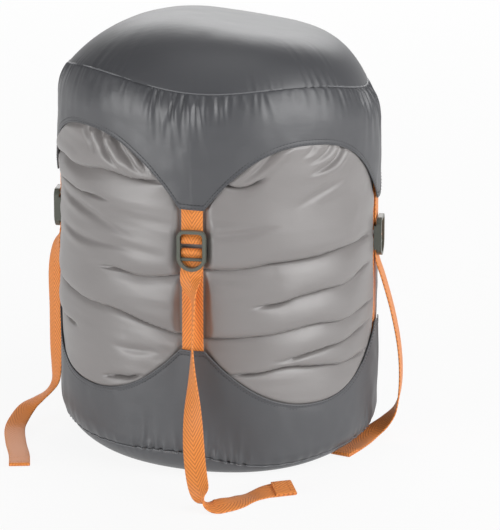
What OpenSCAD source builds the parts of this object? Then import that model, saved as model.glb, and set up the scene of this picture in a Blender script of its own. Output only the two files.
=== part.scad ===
// Compression sack, packed and strapped down. Millimetres, +Z up.
// The origin is the middle of the base, on the floor. The front strap is at -Y,
// and angles round the sack run from the front towards +X.

/* [Sack] */
// Outside diameter of the packed fabric tube
body_d = 226; // [190:1:270]
// Height of the tube's top edge above the floor
body_top = 240; // [230:1:246]
// Thickness of every sheet of coated cloth
cloth = 1; // [0.7:0.1:1.4]
// Room between plies that slide on each other
ply_gap = 0.4; // [0.3:0.05:0.6]

/* [Base] */
// Radius of the rounded edge under the sack
base_round_r = 24; // [18:1:32]
// How far up the rounded edge the base seam runs, in degrees
base_seam_turn = 54; // [40:1:65]
// Height of the four tabs of the base skirt
base_tab_z = 95; // [85:1:105]
// Height of the dips between those tabs
base_dip_z = 53; // [42:1:66]
// How sharply the edge falls from a tab
base_dip_power = 2.25; // [1.6:0.05:3]

/* [Lid] */
// Diameter of the gathered seam round the lid panel
lid_seam_d = 215; // [150:1:222]
// Height of that seam above the tube's top edge, at a strap
lid_seam_h = 29.5; // [26:0.5:36]
// How far the seam bows up between two straps
lid_seam_bow = 7; // [0:0.5:9]
// Rise of the domed lid panel over its seam
lid_dome_h = 41.5; // [36:0.5:60]
// How full the dome is: 2 is a round dome, 6 a flat top with steep sides
dome_power = 4.2; // [2.2:0.1:6]
// How much fuller the dome is on its right than in the middle
dome_side_power = 2; // [0:0.1:2]
// How far the dome's slope is raised on its left and lowered on its right
dome_tilt_h = 12; // [0:1:16]
// How far the skirt draws in over the sewn loops
lid_draw_in = 1; // [0:0.1:1.2]
// Drop from the tube's top edge to the arches between the lid's tabs
lid_arch_h = 4; // [0:1:18]
// Drop from the tube's top edge to the tips of the lid's tabs
lid_tab_h = 52; // [44:1:60]
// How sharply the edge rises from a tab
lid_arch_power = 2.4; // [1.6:0.05:3]
// Lean of the whole lid to one side, in degrees
lean_side = 2.9; // [0:0.1:5]
// Lean of the whole lid from front to back, in degrees
lean_back = 5.1; // [0:0.1:6]
// Width of the bound edge of both skirts
binding_w = 3.6; // [2:0.1:6]
// Thickness of the bound edge
binding_t = 0.7; // [0.4:0.1:1.2]

/* [Straps] */
// Width of the webbing
strap_w = 15.2; // [12:0.1:18]
// Thickness of the webbing
strap_t = 1.2; // [0.9:0.1:1.6]
// Length of webbing sewn in behind a tab
strap_sewn = 26; // [16:1:34]
// Bare length of loop between a lid tab and its buckle
loop_bare = 15; // [10:0.5:20]

/* [Buckle] */
// Height of the ladder buckle
buckle_h = 29.4; // [27:0.2:34]
// Width in its plane of the buckle's frame
frame_w = 2.3; // [1.8:0.1:3]
// Depth of the buckle's frame
frame_t = 3.6; // [2.6:0.1:4.6]
// Radius of the two bars that webbing wraps
bar_r = 1.1; // [0.9:0.05:1.3]
// Radius of the locking bar
lock_bar_r = 1.2; // [0.8:0.05:1.4]
// Room beside the webbing in the buckle
side_gap = 0.35; // [0.3:0.05:0.7]
// Room between webbing and the bar it wraps
bar_gap = 0.3; // [0.2:0.05:0.5]

/* [Closure] */
// Diameter of the ring that the drawcord runs in
mouth_d = 84; // [70:1:96]
// Height of the gathered mouth above the tube's top edge
mouth_h = 22; // [18:1:25]
// Diameter of the drawcord
cord_d = 2.6; // [2:0.1:3.2]
// Outside diameter of the cord lock
lock_d = 15; // [13:0.5:17]
// Travel of the cord lock's button
lock_travel = 3; // [2:0.25:4]

/* [Hidden] */
$fn = 64;

front = 0;
right = 90;
back = 180;
left = 270;

// plies, from the tube outwards
tube_r = body_d/2;
ply_1 = tube_r + ply_gap;              // inner face of the standing webbing
ply_2 = ply_1 + strap_t + ply_gap;     // inner face of the webbing that comes back
base_in = ply_1 + strap_t + ply_gap;
base_out = base_in + cloth;
lid_in = ply_1 + 2*strap_t + ply_gap;
lid_out = lid_in + cloth;
lid_seam_r = lid_seam_d/2;
lid_seam_z = body_top + lid_seam_h;
lid_arch_z = body_top - lid_arch_h;
lid_tab_z = body_top - lid_tab_h;
touch = 0.06;                          // gap between sewn faces
tab_a = asin((strap_w/2 + 1.2)/lid_out);

// the leaning lid: how much higher it is at a radius and an angle
function lean(r, a) = r*(tan(lean_back)*cos(a) - tan(lean_side)*sin(a));
function base_lean(a) = -base_out*tan(lean_side)*sin(a);
function polar(r, a, z) = [r*sin(a), -r*cos(a), z];

// edge of a skirt: 1 on a tab, 0 half way between two straps
function from_strap(a) = min(a % 90, 90 - a % 90);
function tab_share(a, p) =
    let (u = min(max((from_strap(a) - tab_a)/(45 - tab_a), 0), 1)) pow(1 - u, p);
function base_edge(a) =
    base_dip_z + (base_tab_z - base_dip_z)*tab_share(a, base_dip_power) + base_lean(a);
function lid_edge(a) =
    lid_arch_z - (lid_arch_z - lid_tab_z)*tab_share(a, lid_arch_power);

// angles of the columns that every sewn shell is built on
half_turn = [0, tab_a, 7, 10, 14, 19, 25, 31, 38, 45];
columns = [for (q = [0:3]) each concat([for (h = half_turn) q*90 + h],
    [for (i = [8:-1:1]) q*90 + 90 - half_turn[i]])];

// buckle, in its own plane: x across, y up, z out from the tube
rail_in = strap_w/2 + side_gap;
rail_mid = rail_in + frame_w/2;
frame_top = buckle_h/2 - frame_w/2;
bow_y = rail_mid - frame_top;          // centre of the round lip
corner_r = 4.2;
wrap_in = bar_r + bar_gap;
wrap_mid = wrap_in + strap_t/2;
bar_z = ply_1 + strap_t/2 + wrap_mid;  // both wrapped bars stand this far out
bar_1_y = 6.8;
bar_2_y = -1.2;
bar_3_y = -6.4;
bar_3_z = ply_2 + strap_t + ply_gap + lock_bar_r;
frame_z = ply_2 + strap_t + ply_gap + frame_t/2;
cheek_z = bar_z - bar_r - 0.2;
buckle_z = lid_tab_z - loop_bare - buckle_h/2;
function buckle_at(a) = buckle_z + lean(lid_out, a);

// cord lock
mouth_r = mouth_d/2;
mouth_z = body_top + mouth_h;
hem_open = 17;                         // degrees left open on each side of the front
hem_r = cord_d/2 + 2.1;
hem_wall = 1.2;
lock_u = mouth_r + 20;                 // how far out on the collar it stands
lock_z = mouth_z + 0.3;
lock_floor = 2.5;
lock_fit = 0.25;
lock_bore = lock_d/2 - 1.8;
spring_h = 5.5;
button_z = lock_z + lock_floor + spring_h;
cord_z = button_z + 2.5 + cord_d/2 + 0.1;
slot_w = 2*cord_d + 0.7;
slot_h = cord_d + lock_travel + 0.4;
barrel_h = cord_z + cord_d/2 + 6 - lock_z;
head_z = lock_z + barrel_h + lock_travel + 0.4;

// One lofted solid from rings of equal length, closed flat at both ends
module loft(rings) {
    n = len(rings[0]);
    m = len(rings);
    polyhedron([for (r = rings) each r], concat(
        [[for (i = [0:n - 1]) i]],
        [for (j = [0:m - 2], i = [0:n - 1]) each
            let (a = j*n + i, b = j*n + (i + 1) % n)
            [[a, a + n, b + n], [a, b + n, b]]],
        [[for (i = [n - 1:-1:0]) (m - 1)*n + i]]));
}

// A shell that is closed round the sack: rings from bottom to top, outside then inside
module shell(outer, inner) {
    n = len(outer[0]);
    m = len(outer);
    o = m*n;
    polyhedron(concat([for (r = outer) each r], [for (r = inner) each r]), concat(
        [for (j = [0:m - 2], i = [0:n - 1]) each
            let (a = j*n + i, b = j*n + (i + 1) % n)
            [[a, a + n, b + n], [a, b + n, b],
             [o + a, o + b + n, o + a + n], [o + a, o + b, o + b + n]]],
        [for (i = [0:n - 1]) each
            let (k = (i + 1) % n, t = (m - 1)*n)
            [[i, k, o + k], [i, o + k, o + i],
             [t + i, o + t + i, o + t + k], [t + i, o + t + k, t + k]]]));
}

// A domed panel: rings from its edge inwards, with a point at the top of each face
module dome(outer, top, inner, under) {
    n = len(outer[0]);
    m = len(outer);
    o = m*n;
    t = (m - 1)*n;
    polyhedron(concat([for (r = outer) each r], [for (r = inner) each r], [top, under]),
        concat(
        [for (j = [0:m - 2], i = [0:n - 1]) each
            let (a = j*n + i, b = j*n + (i + 1) % n)
            [[a, a + n, b + n], [a, b + n, b],
             [o + a, o + b + n, o + a + n], [o + a, o + b, o + b + n]]],
        [for (i = [0:n - 1]) each
            let (k = (i + 1) % n)
            [[i, k, o + k], [i, o + k, o + i],
             [t + i, 2*o, t + k], [o + t + i, o + t + k, 2*o + 1]]]));
}

// smooth curve through points, given as so many steps between two of them
function curve_at(p, i, t) =
    let (n = len(p) - 1, a = p[max(i - 1, 0)], b = p[i], c = p[i + 1], d = p[min(i + 2, n)])
    0.5*(2*b + (c - a)*t + (2*a - 5*b + 4*c - d)*t*t + (3*b - 3*c + d - a)*t*t*t);
function curve(p, steps) =
    [for (i = [0:len(p) - 2], s = [0:steps - 1]) curve_at(p, i, s/steps), p[len(p) - 1]];
function unit(v) = v/norm(v);
function along(p, i) = unit(p[min(i + 1, len(p) - 1)] - p[max(i - 1, 0)]);

// flat webbing along points, each with the direction of the webbing's width
function ribbon(p, side, w, t) = [for (i = [0:len(p) - 1])
    let (d = along(p, i), s = unit(side[i] - (side[i]*d)*d), n = cross(d, s))
    [p[i] + s*w/2 + n*t/2, p[i] - s*w/2 + n*t/2, p[i] - s*w/2 - n*t/2, p[i] + s*w/2 - n*t/2]];

// round cord along points
function cord(p, d, n = 8) = [for (i = [0:len(p) - 1])
    let (v = along(p, i), s = unit(cross(v, abs(v[2]) > 0.8 ? [1, 0, 0.2] : [0, 0, 1])),
        u = cross(v, s))
    [for (k = [0:n - 1]) p[i] + d/2*(cos(360*k/n)*s + sin(360*k/n)*u)]];

// a point of a strap's own frame: across, out from the axis, up
function out(u, r, z) = [u, -r, z];

// Base: panel with a turned-up seam, lofted skirt, binding and fabric tube
base_flat = base_out - base_round_r;
function foot(r, turn) = [base_flat + r*sin(turn), base_round_r - r*cos(turn)];
seam_depth = base_out - tube_r + cloth;

module base_panel() {
    color("#4b4c50") rotate_extrude()
        polygon(concat([[0, 0]],
            [for (i = [0:9]) foot(base_round_r, base_seam_turn*i/9)],
            [foot(base_round_r - seam_depth, base_seam_turn),
             foot(base_round_r - seam_depth, base_seam_turn - 14),
             foot(base_round_r - cloth, base_seam_turn - 14)],
            [for (i = [5:-1:0]) foot(base_round_r - cloth, (base_seam_turn - 14)*i/6)],
            [[0, cloth]]));
}

seam_step = 0.5;                       // degrees of arc left open at the seam
skirt_turn = [for (i = [0:5]) base_seam_turn + seam_step + (90 - base_seam_turn - seam_step)*i/5];
function base_ring(inset, j) = [for (a = columns)
    let (p = j < 6 ? foot(base_round_r - inset, skirt_turn[j])
        : [base_out - inset, base_round_r + (base_edge(a) - base_round_r)*(j - 5)/2])
    polar(p[0], a, p[1])];

module base_skirt() {
    color("#4b4c50")
        shell([for (j = [0:7]) base_ring(0, j)], [for (j = [0:7]) base_ring(cloth, j)]);
}

module base_binding() {
    r = base_out + touch;
    color("#3c3d42")
        shell([for (h = [0.6 - binding_w, 0.6])
                [for (a = columns) polar(r + binding_t, a, base_edge(a) + h)]],
            [for (h = [0.6 - binding_w, 0.6])
                [for (a = columns) polar(r, a, base_edge(a) + h)]]);
}

module body_tube() {
    deep = base_out - tube_r;
    color("#96928f") rotate_extrude()
        polygon(concat(
            [for (t = skirt_turn) foot(base_round_r - deep, t)],
            [[tube_r, body_top], [tube_r - cloth, body_top]],
            [for (i = [5:-1:0]) foot(base_round_r - deep - cloth, skirt_turn[i])]));
}

// Straps: up from the base tab, over the second bar, back under the locking bar, then free
floor_gap = 0.15;
function lip_z(a) = buckle_at(a) - buckle_h/2;
function wrap_path(a) =
    let (b2 = buckle_at(a) + bar_2_y, r1 = ply_1 + strap_t/2, r2 = ply_2 + strap_t/2)
    concat(
        [for (z = [base_edge(a) - strap_sewn, base_edge(a), lip_z(a), b2 - 4]) out(0, r1, z)],
        [for (t = [180:-22.5:0]) out(0, bar_z + wrap_mid*cos(t), b2 + wrap_mid*sin(t))],
        [out(0, bar_z + wrap_mid - 0.1, b2 - 0.9), out(0, r2 + 0.9, b2 - 2.9),
         out(0, r2, b2 - 5), out(0, r2, lip_z(a) + 3)]);

// free tails: across, out from the skirt, share of the lip's height, and the way the width lies
tail_front = [[-1, -0.9, 0.97, 1, 0, 0], [0, 3, 0.92, 0.75, 0.65, 0], [2, 6, 0.86, 0.3, 0.95, 0],
    [2, 8.5, 0.76, 0.2, 1, 0], [2, 11, 0.64, 0.2, 1, 0], [3, 17, 0.5, 0.5, 0.85, 0],
    [5, 28, 0.34, 0.9, 0.4, 0], [8, 40, 0.21, 1, 0, 0.05], [12, 52, 0.12, 0.97, 0.2, 0],
    [16, 60, 0.065, 0.8, 0.6, 0], [20, 63, 0.035, 0.35, 0.93, -0.1], [26, 63, 0.02, 0.25, 0.9, -0.3],
    [33, 58, 0, 0.45, 0.8, -0.3], [39, 50, 0, 0.7, 0.65, -0.2], [43, 41, 0, 0.85, 0.5, -0.1],
    [48, 33, 0, 0.75, 0.65, 0], [56, 26, 0, 0.55, 0.8, -0.2], [64, 22, 0, 0.5, 0.8, -0.3],
    [74, 17, 0, 0.5, 0.8, -0.3]];
tail_right = [[0, -0.6, 0.97, 1, 0, 0], [0, 4, 0.87, 1, 0, 0], [1, 11, 0.68, 1, 0, 0],
    [1, 16, 0.48, 1, 0, 0], [1, 17, 0.3, 1, 0, 0], [0, 14, 0.16, 1, -0.1, 0.1],
    [-3, 6, 0.08, 0.9, -0.4, 0.2], [-8, -3, 0.03, 0.6, -0.8, 0.1], [-20, -9, 0, 0.3, -0.95, 0],
    [-36, -14, 0, 0.35, -0.95, 0], [-52, -20, 0, 0.4, -0.9, 0]];
tail_back = [[0, -0.6, 0.97, 1, 0, 0], [0, 3, 0.87, 1, 0, 0], [1, 8, 0.68, 1, 0.1, 0],
    [2, 9, 0.48, 0.9, 0.2, 0], [2, 9, 0.32, 0.9, 0.2, 0], [0, 11, 0.18, 0.9, 0.2, 0.1],
    [-6, 16, 0.09, 0.8, -0.5, 0.2], [-14, 22, 0.03, 0.5, -0.8, 0.1], [-28, 24, 0, 0.1, -1, 0],
    [-46, 20, 0, 0.3, -0.95, 0], [-64, 12, 0, 0.4, -0.9, 0], [-80, 3, 0, 0.5, -0.85, 0]];
tail_left = [[0, -0.6, 0.97, 1, 0, 0], [0, 3.5, 0.89, 0.85, -0.5, 0], [-1, 5.5, 0.76, 0.7, -0.7, 0],
    [-2, 5.5, 0.56, 0.7, -0.7, 0], [-2, 5.5, 0.38, 0.7, -0.7, 0], [0, 5, 0.27, 0.75, -0.6, 0.1],
    [2, 5.5, 0.2, 0.8, -0.5, 0.2], [5, 10, 0.15, 0.8, -0.5, 0.3], [9, 17, 0.115, 0.6, -0.75, 0.25],
    [15, 24, 0.085, 0.3, -0.95, 0.1], [25, 28, 0.05, 0.15, -1, 0], [38, 29, 0.02, 0, -1, 0],
    [62, 23, 0, -0.2, -0.95, 0], [88, 15, 0, -0.25, -0.95, 0], [110, 10, 0, -0.2, -1, 0]];

tail_steps = 3;
function tail_side(k) = unit([k[3], -k[4], k[5]]);
function tail_lift(k) =
    let (s = tail_side(k)) abs(s[2])*strap_w/2 + sqrt(1 - s[2]*s[2])*strap_t/2 + floor_gap;
function tail_path(tail, a) = curve([for (k = tail)
    out(k[0], lid_out + k[1], max(k[2]*lip_z(a), tail_lift(k)))], tail_steps);
function tail_sides(tail) = curve([for (k = tail) tail_side(k)], tail_steps);

module strap(tail, a) {
    held = wrap_path(a);
    color("#d9702f") rotate([0, 0, a])
        loft(ribbon(concat(held, tail_path(tail, a)),
            concat([for (p = held) [1, 0, 0]], tail_sides(tail)), strap_w, strap_t));
}
module strap_front() { strap(tail_front, front); }
module strap_right() { strap(tail_right, right); }
module strap_back() { strap(tail_back, back); }
module strap_left() { strap(tail_left, left); }

// Lid: domed panel, skirt with four tabs, binding and the sewn loops
shoulder_z = body_top + 4;
loop_top_z = lid_tab_z + strap_sewn + 2;
shoulder_r = lid_out - lid_draw_in;
function lid_r(z) = z < shoulder_z
    ? lid_out - lid_draw_in*max(z - loop_top_z, 0)/(shoulder_z - loop_top_z)
    : shoulder_r - (shoulder_r - lid_seam_r)*pow((z - shoulder_z)/(lid_seam_z - shoulder_z), 2);
function bow(a) = lid_seam_bow*pow(sin(2*a), 2);
function lid_ring(inset, j) = [for (a = columns)
    let (low = lid_edge(a), up = max(j - 2, 0)/4,
        z = j < 2 ? low + (shoulder_z - low)*j/2 : shoulder_z + (lid_seam_z - shoulder_z)*up,
        r = lid_r(z))
    polar(r - inset, a, z + bow(a)*up + lean(r, a))];

module lid_skirt() {
    color("#4b4c50")
        shell([for (j = [0:6]) lid_ring(0, j)], [for (j = [0:6]) lid_ring(cloth, j)]);
}

function binding_ring(grow, h) = [for (a = columns)
    polar(lid_r(lid_edge(a)) + touch + grow, a, lid_edge(a) + h + lean(lid_r(lid_edge(a)), a))];

module lid_binding() {
    color("#3c3d42")
        shell([for (h = [-0.6, binding_w - 0.6]) binding_ring(binding_t, h)],
            [for (h = [-0.6, binding_w - 0.6]) binding_ring(0, h)]);
}

dome_share = [1, 0.97, 0.92, 0.84, 0.72, 0.54, 0.32, 0.14];
function dome_z(s, a) = lid_seam_z + touch
    + lid_dome_h*(1 - pow(s, dome_power + dome_side_power*sin(a)))
    - dome_tilt_h*sin(a)*s*(1 - pow(s, 3)) + bow(a)*pow(s, 4) + lean(s*lid_seam_r, a);
function dome_ring(inset, drop, s) = [for (a = columns)
    polar(s*(lid_seam_r - inset), a, dome_z(s, a) - drop*(1 - s))];

module lid_panel() {
    top = lid_seam_z + touch + lid_dome_h;
    color("#4b4c50")
        dome([for (s = dome_share) dome_ring(0, 0, s)], [0, 0, top],
            [for (s = dome_share) dome_ring(cloth, 1.3*cloth, s)], [0, 0, top - 1.3*cloth]);
}

// a loop: doubled webbing behind the tab, opened round the first bar
function loop_path(a) =
    let (b1 = buckle_at(a) + bar_1_y, tip = lid_tab_z + lean(lid_out, a),
        r1 = ply_1 + strap_t/2, r2 = r1 + strap_t)
    concat(
        [for (z = [tip + strap_sewn, tip + 8, b1 + 7.5]) out(0, r2, z)],
        [out(0, r2 + 0.2, b1 + 4.4), out(0, bar_z + wrap_mid - 0.5, b1 + 1.5)],
        [for (t = [0:-22.5:-180]) out(0, bar_z + wrap_mid*cos(t), b1 + wrap_mid*sin(t))],
        [for (z = [b1 + 4, b1 + 7.5, tip + 8, tip + strap_sewn]) out(0, r1 - touch, z)]);

module webbing_loop(a) {
    p = loop_path(a);
    color("#d9702f") rotate([0, 0, a])
        loft(ribbon(p, [for (q = p) [1, 0, 0]], strap_w, strap_t - touch));
}
module loop_front() { webbing_loop(front); }
module loop_right() { webbing_loop(right); }
module loop_back() { webbing_loop(back); }
module loop_left() { webbing_loop(left); }

// Ladder buckle: a frame with a round lip, two wrapped bars and a locking bar
module frame_shape(grow) {
    translate([0, bow_y]) circle(r = rail_mid + grow);
    translate([-rail_mid - grow, bow_y])
        square([2*(rail_mid + grow), frame_top - corner_r - bow_y]);
    for (s = [-1, 1]) translate([s*(rail_mid - corner_r), frame_top - corner_r])
        circle(r = corner_r + grow);
    translate([-rail_mid + corner_r, bow_y])
        square([2*(rail_mid - corner_r), frame_top + grow - bow_y]);
}

module bar(y, z, r) {
    translate([-rail_mid, y, z]) rotate([0, 90, 0]) cylinder(r = r, h = 2*rail_mid, $fn = 32);
}

module buckle(a) {
    cheek_h = bar_1_y - bar_3_y + 4.4;
    color("#55584f") rotate([0, 0, a]) translate([0, 0, buckle_at(a)]) rotate([90, 0, 0]) {
        translate([0, 0, frame_z - frame_t/2]) linear_extrude(frame_t) difference() {
            frame_shape(frame_w/2);
            frame_shape(-frame_w/2);
        }
        for (s = [-1, 1])
            translate([s*rail_mid - frame_w/2, bar_3_y - 2.2, cheek_z])
                cube([frame_w, cheek_h, frame_z - cheek_z]);
        bar(bar_1_y, bar_z, bar_r);
        bar(bar_2_y, bar_z, bar_r);
        bar(bar_3_y, bar_3_z, lock_bar_r);
    }
}
module buckle_front() { buckle(front); }
module buckle_right() { buckle(right); }
module buckle_back() { buckle(back); }
module buckle_left() { buckle(left); }

// Closure under the lid: gathered collar, hem, drawcord and cord lock
collar_in = mouth_r + hem_r + touch;
function collar_at(inset, t) = [collar_in + (tube_r - inset - collar_in)*cos(t),
    body_top + ply_gap + (mouth_z - body_top - ply_gap - inset)*sin(t)];

module collar() {
    color("#96928f") rotate_extrude()
        polygon(concat([for (t = [0:10:90]) collar_at(0, t)],
            [for (t = [90:-10:0]) collar_at(cloth, t)]));
}

module mouth_hem() {
    color("#8b8785") rotate([0, 0, hem_open - 90]) rotate_extrude(angle = 360 - 2*hem_open)
        translate([mouth_r, mouth_z - 0.5]) difference() {
            circle(r = hem_r, $fn = 32);
            circle(r = hem_r - hem_wall, $fn = 32);
        }
}

strand = cord_d/2 + 0.12;
cord_open = hem_open - 3;
cord_turn = [for (i = [0:44]) polar(mouth_r, cord_open + (360 - 2*cord_open)*i/44, mouth_z - 0.5)];
function cord_end(s) = [[s*5.4, mouth_r + 2, mouth_z + 0.4], [s*2.6, mouth_r + 7.5, cord_z - 3.4],
    [s*strand, lock_u - lock_d/2, cord_z], [s*strand, lock_u + lock_d/2, cord_z],
    [s*strand, lock_u + lock_d/2 + 6, cord_z]];

module drawcord() {
    go = [for (p = cord_end(1)) out(p[0], p[1], p[2])];
    come = [for (p = cord_end(-1)) out(p[0], p[1], p[2])];
    color("#2b2b2d") {
        loft(cord(concat([for (i = [4:-1:0]) go[i]], cord_turn, come), cord_d));
        translate(out(0, lock_u + lock_d/2 + 6, cord_z)) sphere(r = cord_d + 0.6, $fn = 24);
    }
}

module lock_barrel() {
    color("#2b2b2d") translate(out(0, lock_u, lock_z)) difference() {
        cylinder(d = lock_d, h = barrel_h);
        translate([0, 0, lock_floor]) cylinder(r = lock_bore, h = barrel_h);
        translate([-slot_w/2, -lock_d, cord_z - lock_z - cord_d/2 - 0.3])
            cube([slot_w, 2*lock_d, cord_d + 0.6]);
    }
}

module lock_spring() {
    turns = 3.5;
    low = lock_z + lock_floor + 0.5;
    rise = spring_h - 1;
    color("#b5b7ba") translate(out(0, lock_u, 0))
        loft(cord([for (i = [0:56]) polar(lock_bore - 1.6, 360*turns*i/56, low + rise*i/56)],
            0.8, 6));
}

module lock_button() {
    r = lock_bore - lock_fit;
    color("#2b2b2d") translate(out(0, lock_u, button_z)) difference() {
        union() {
            cylinder(r = r, h = head_z - button_z + 0.5);
            translate([0, 0, head_z - button_z]) cylinder(d = lock_d - 1.6, h = 3.6);
        }
        translate([-slot_w/2, -lock_d, cord_z - button_z - cord_d/2 - 0.1])
            cube([slot_w, 2*lock_d, slot_h]);
    }
}

base_panel();
base_skirt();
base_binding();
body_tube();
strap_front();
strap_right();
strap_back();
strap_left();
lid_panel();
lid_skirt();
lid_binding();
loop_front();
loop_right();
loop_back();
loop_left();
buckle_front();
buckle_right();
buckle_back();
buckle_left();
collar();
mouth_hem();
drawcord();
lock_barrel();
lock_spring();
lock_button();
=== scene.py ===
# %% [markdown]
# # A packed compression sack
#
# The CAD model gives the frame: where each piece sits, how large it is and how it moves.
# This script dresses it: cloth with folds and gathers, herringbone webbing, stitches, light and a camera.
# All sizes below are in millimetres and turn into metres where a mesh is made.

# %% Load the frame
import math

import bpy
import numpy as np
from mathutils import Matrix, Vector


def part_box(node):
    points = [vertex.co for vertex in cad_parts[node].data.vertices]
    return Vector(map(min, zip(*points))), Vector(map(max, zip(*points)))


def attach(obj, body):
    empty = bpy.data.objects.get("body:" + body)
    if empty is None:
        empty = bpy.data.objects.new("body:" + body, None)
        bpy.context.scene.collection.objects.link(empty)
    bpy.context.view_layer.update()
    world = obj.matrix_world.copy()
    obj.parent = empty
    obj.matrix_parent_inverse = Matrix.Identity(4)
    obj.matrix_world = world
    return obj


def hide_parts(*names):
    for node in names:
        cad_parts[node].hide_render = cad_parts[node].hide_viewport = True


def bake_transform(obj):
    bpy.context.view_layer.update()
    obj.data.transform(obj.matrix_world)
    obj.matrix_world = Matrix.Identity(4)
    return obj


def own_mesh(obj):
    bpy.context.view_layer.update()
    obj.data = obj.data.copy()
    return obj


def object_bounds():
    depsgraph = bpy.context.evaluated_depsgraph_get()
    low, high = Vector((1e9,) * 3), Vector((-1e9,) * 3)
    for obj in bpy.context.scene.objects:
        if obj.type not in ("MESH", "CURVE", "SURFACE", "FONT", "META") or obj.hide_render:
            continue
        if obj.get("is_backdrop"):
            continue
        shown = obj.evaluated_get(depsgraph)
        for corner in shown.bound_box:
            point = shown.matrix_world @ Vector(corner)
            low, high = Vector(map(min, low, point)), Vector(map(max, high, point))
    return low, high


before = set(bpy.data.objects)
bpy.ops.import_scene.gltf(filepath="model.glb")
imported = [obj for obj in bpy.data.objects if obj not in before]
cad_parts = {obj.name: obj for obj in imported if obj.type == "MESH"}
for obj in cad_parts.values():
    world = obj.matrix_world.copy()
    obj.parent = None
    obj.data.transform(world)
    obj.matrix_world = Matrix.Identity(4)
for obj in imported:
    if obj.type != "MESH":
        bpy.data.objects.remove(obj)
cad_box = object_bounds()
print("the frame has", len(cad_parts), "nodes in a box from", cad_box[0], "to", cad_box[1])

# %% [markdown]
# ## Sizes
#
# Radii and the webbing's width come from the frame's own boxes, so the cloth sits where the solids are.
# A box doesn't tell how high a tab, an arch or a seam is, so those are written here as in the CAD model.
# Angles run round the sack from the front strap (-Y) towards +X.

# %% Sizes in millimetres
MM = 0.001


def top_of(node, axis):
    """The far side of a node's box along an axis."""
    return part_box(node)[1][axis] / MM


def low_of(node, axis):
    """The near side of a node's box along an axis."""
    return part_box(node)[0][axis] / MM


TUBE_R = top_of("body_tube", 0)
BASE_OUT = top_of("base_skirt", 0)
LID_OUT = top_of("lid_skirt", 0)
SEAM_R = top_of("lid_panel", 0)
# the webbing, the space between two plies, and where each strap is round the sack
STRAP_W = top_of("loop_front", 0) - low_of("loop_front", 0)
STRAP_T = 1.2
PLY_GAP = 0.4
STRAPS = {"front": 0, "right": 90, "back": 180, "left": 270}
# slopes of the leaning lid
LEAN_SIDE = math.tan(math.radians(2.9))
LEAN_BACK = math.tan(math.radians(5.1))
# the base: how round its lower edge is, how many degrees up that rounding its seam lies, and heights
BASE_ROUND = 24
BASE_SEAM_TURN = 54
BASE_TAB_Z = 95
BASE_DIP_Z = 53
# the lid: heights before it leans, and how much higher than the seam the dome is
LID_SEAM_Z = 269.5
LID_ARCH_Z = 236
LID_TAB_Z = 188
LID_SHOULDER_Z = 244
LID_DOME = 41.5
# a tab is a little wider than its strap
TAB_SIDE = 1.2
TAB_ANGLE = math.degrees(math.asin((STRAP_W / 2 + TAB_SIDE) / LID_OUT))
print("tube %.1f mm across, lid skirt %.1f, webbing %.1f wide" % (2 * TUBE_R, 2 * LID_OUT, STRAP_W))

# %% [markdown]
# ## Edges and seams
#
# The skirts of lid and base are cut with four tabs, one for each strap, and arches between them.
# A tailor would draw each edge as one curve, so each is one function of the angle here. The cloth,
# its bound edge and its stitches all ask the same function, and so they always meet.

# %% Edges as functions of the angle
# how pointed the tabs are cut, and how soon the cloth beside a tab hangs loose
BASE_ARCH_POWER = 2.25
LID_ARCH_POWER = 2.4
TAB_FADE = 2
# how much of a strap is sewn to its tab, and where the cloth over it starts to draw in towards the lid
STRAP_SEWN = 26
LOOP_TOP_Z = LID_TAB_Z + STRAP_SEWN + 2
DRAW_IN = 1.0
# how far the lid's seam bows up between two straps, and how far the skirt's curve goes on to reach it there
SEAM_BOW = 7
PAST_SEAM = 1.3


def from_strap(a):
    """Degrees from the nearest strap, negative before it."""
    return (np.asarray(a, float) + 45) % 90 - 45


def lean(r, a):
    """How much higher the leaning lid is, at a radius and an angle."""
    return r * (LEAN_BACK * np.cos(np.radians(a)) - LEAN_SIDE * np.sin(np.radians(a)))


def base_lean(a):
    """How much higher the base's edge is at one side, because the sack leans."""
    return -BASE_OUT * LEAN_SIDE * np.sin(np.radians(a))


def tab_share(a, power):
    """1 on a tab, 0 half way between two straps. A higher power makes the tab more pointed."""
    u = np.clip((np.abs(from_strap(a)) - TAB_ANGLE) / (45 - TAB_ANGLE), 0, 1)
    return (1 - u) ** power


def base_edge(a):
    """Height of the base skirt's cut edge."""
    return BASE_DIP_Z + (BASE_TAB_Z - BASE_DIP_Z) * tab_share(a, BASE_ARCH_POWER) + base_lean(a)


def lid_edge(a):
    """Height of the lid skirt's cut edge, before the lid leans."""
    return LID_ARCH_Z - (LID_ARCH_Z - LID_TAB_Z) * tab_share(a, LID_ARCH_POWER)


def polar(r, a, z):
    """Points from a radius, an angle from the front strap and a height."""
    a = np.radians(a)
    return np.stack(np.broadcast_arrays(r * np.sin(a), -r * np.cos(a), z), axis=-1)


def seam_z(a):
    """Height of the lid's seam, which bows up between two straps."""
    return LID_SEAM_Z + SEAM_BOW * np.sin(np.radians(2 * a)) ** 2


def lid_r(z):
    """Radius of the lid's skirt at a height, before the lid leans."""
    low = LID_OUT - DRAW_IN * np.clip((z - LOOP_TOP_Z) / (LID_SHOULDER_Z - LOOP_TOP_Z), 0, 1)
    high = np.clip((z - LID_SHOULDER_Z) / (LID_SEAM_Z - LID_SHOULDER_Z), 0, PAST_SEAM)
    return low - (LID_OUT - DRAW_IN - SEAM_R) * high**2


print("lid edge %.0f to %.0f mm up," % (lid_edge(0), lid_edge(45)),
      "base edge %.0f to %.0f" % (base_edge(45), base_edge(0)))

# %% [markdown]
# ## Camera
#
# A product photo is taken from far away with a long lens, so that upright edges stay nearly upright. A short
# lens close by would show the same width, but the tube would taper towards the floor. The camera stands
# higher than the lid and is turned about nine degrees from the front strap. These numbers come from fitting
# the outline.

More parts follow.
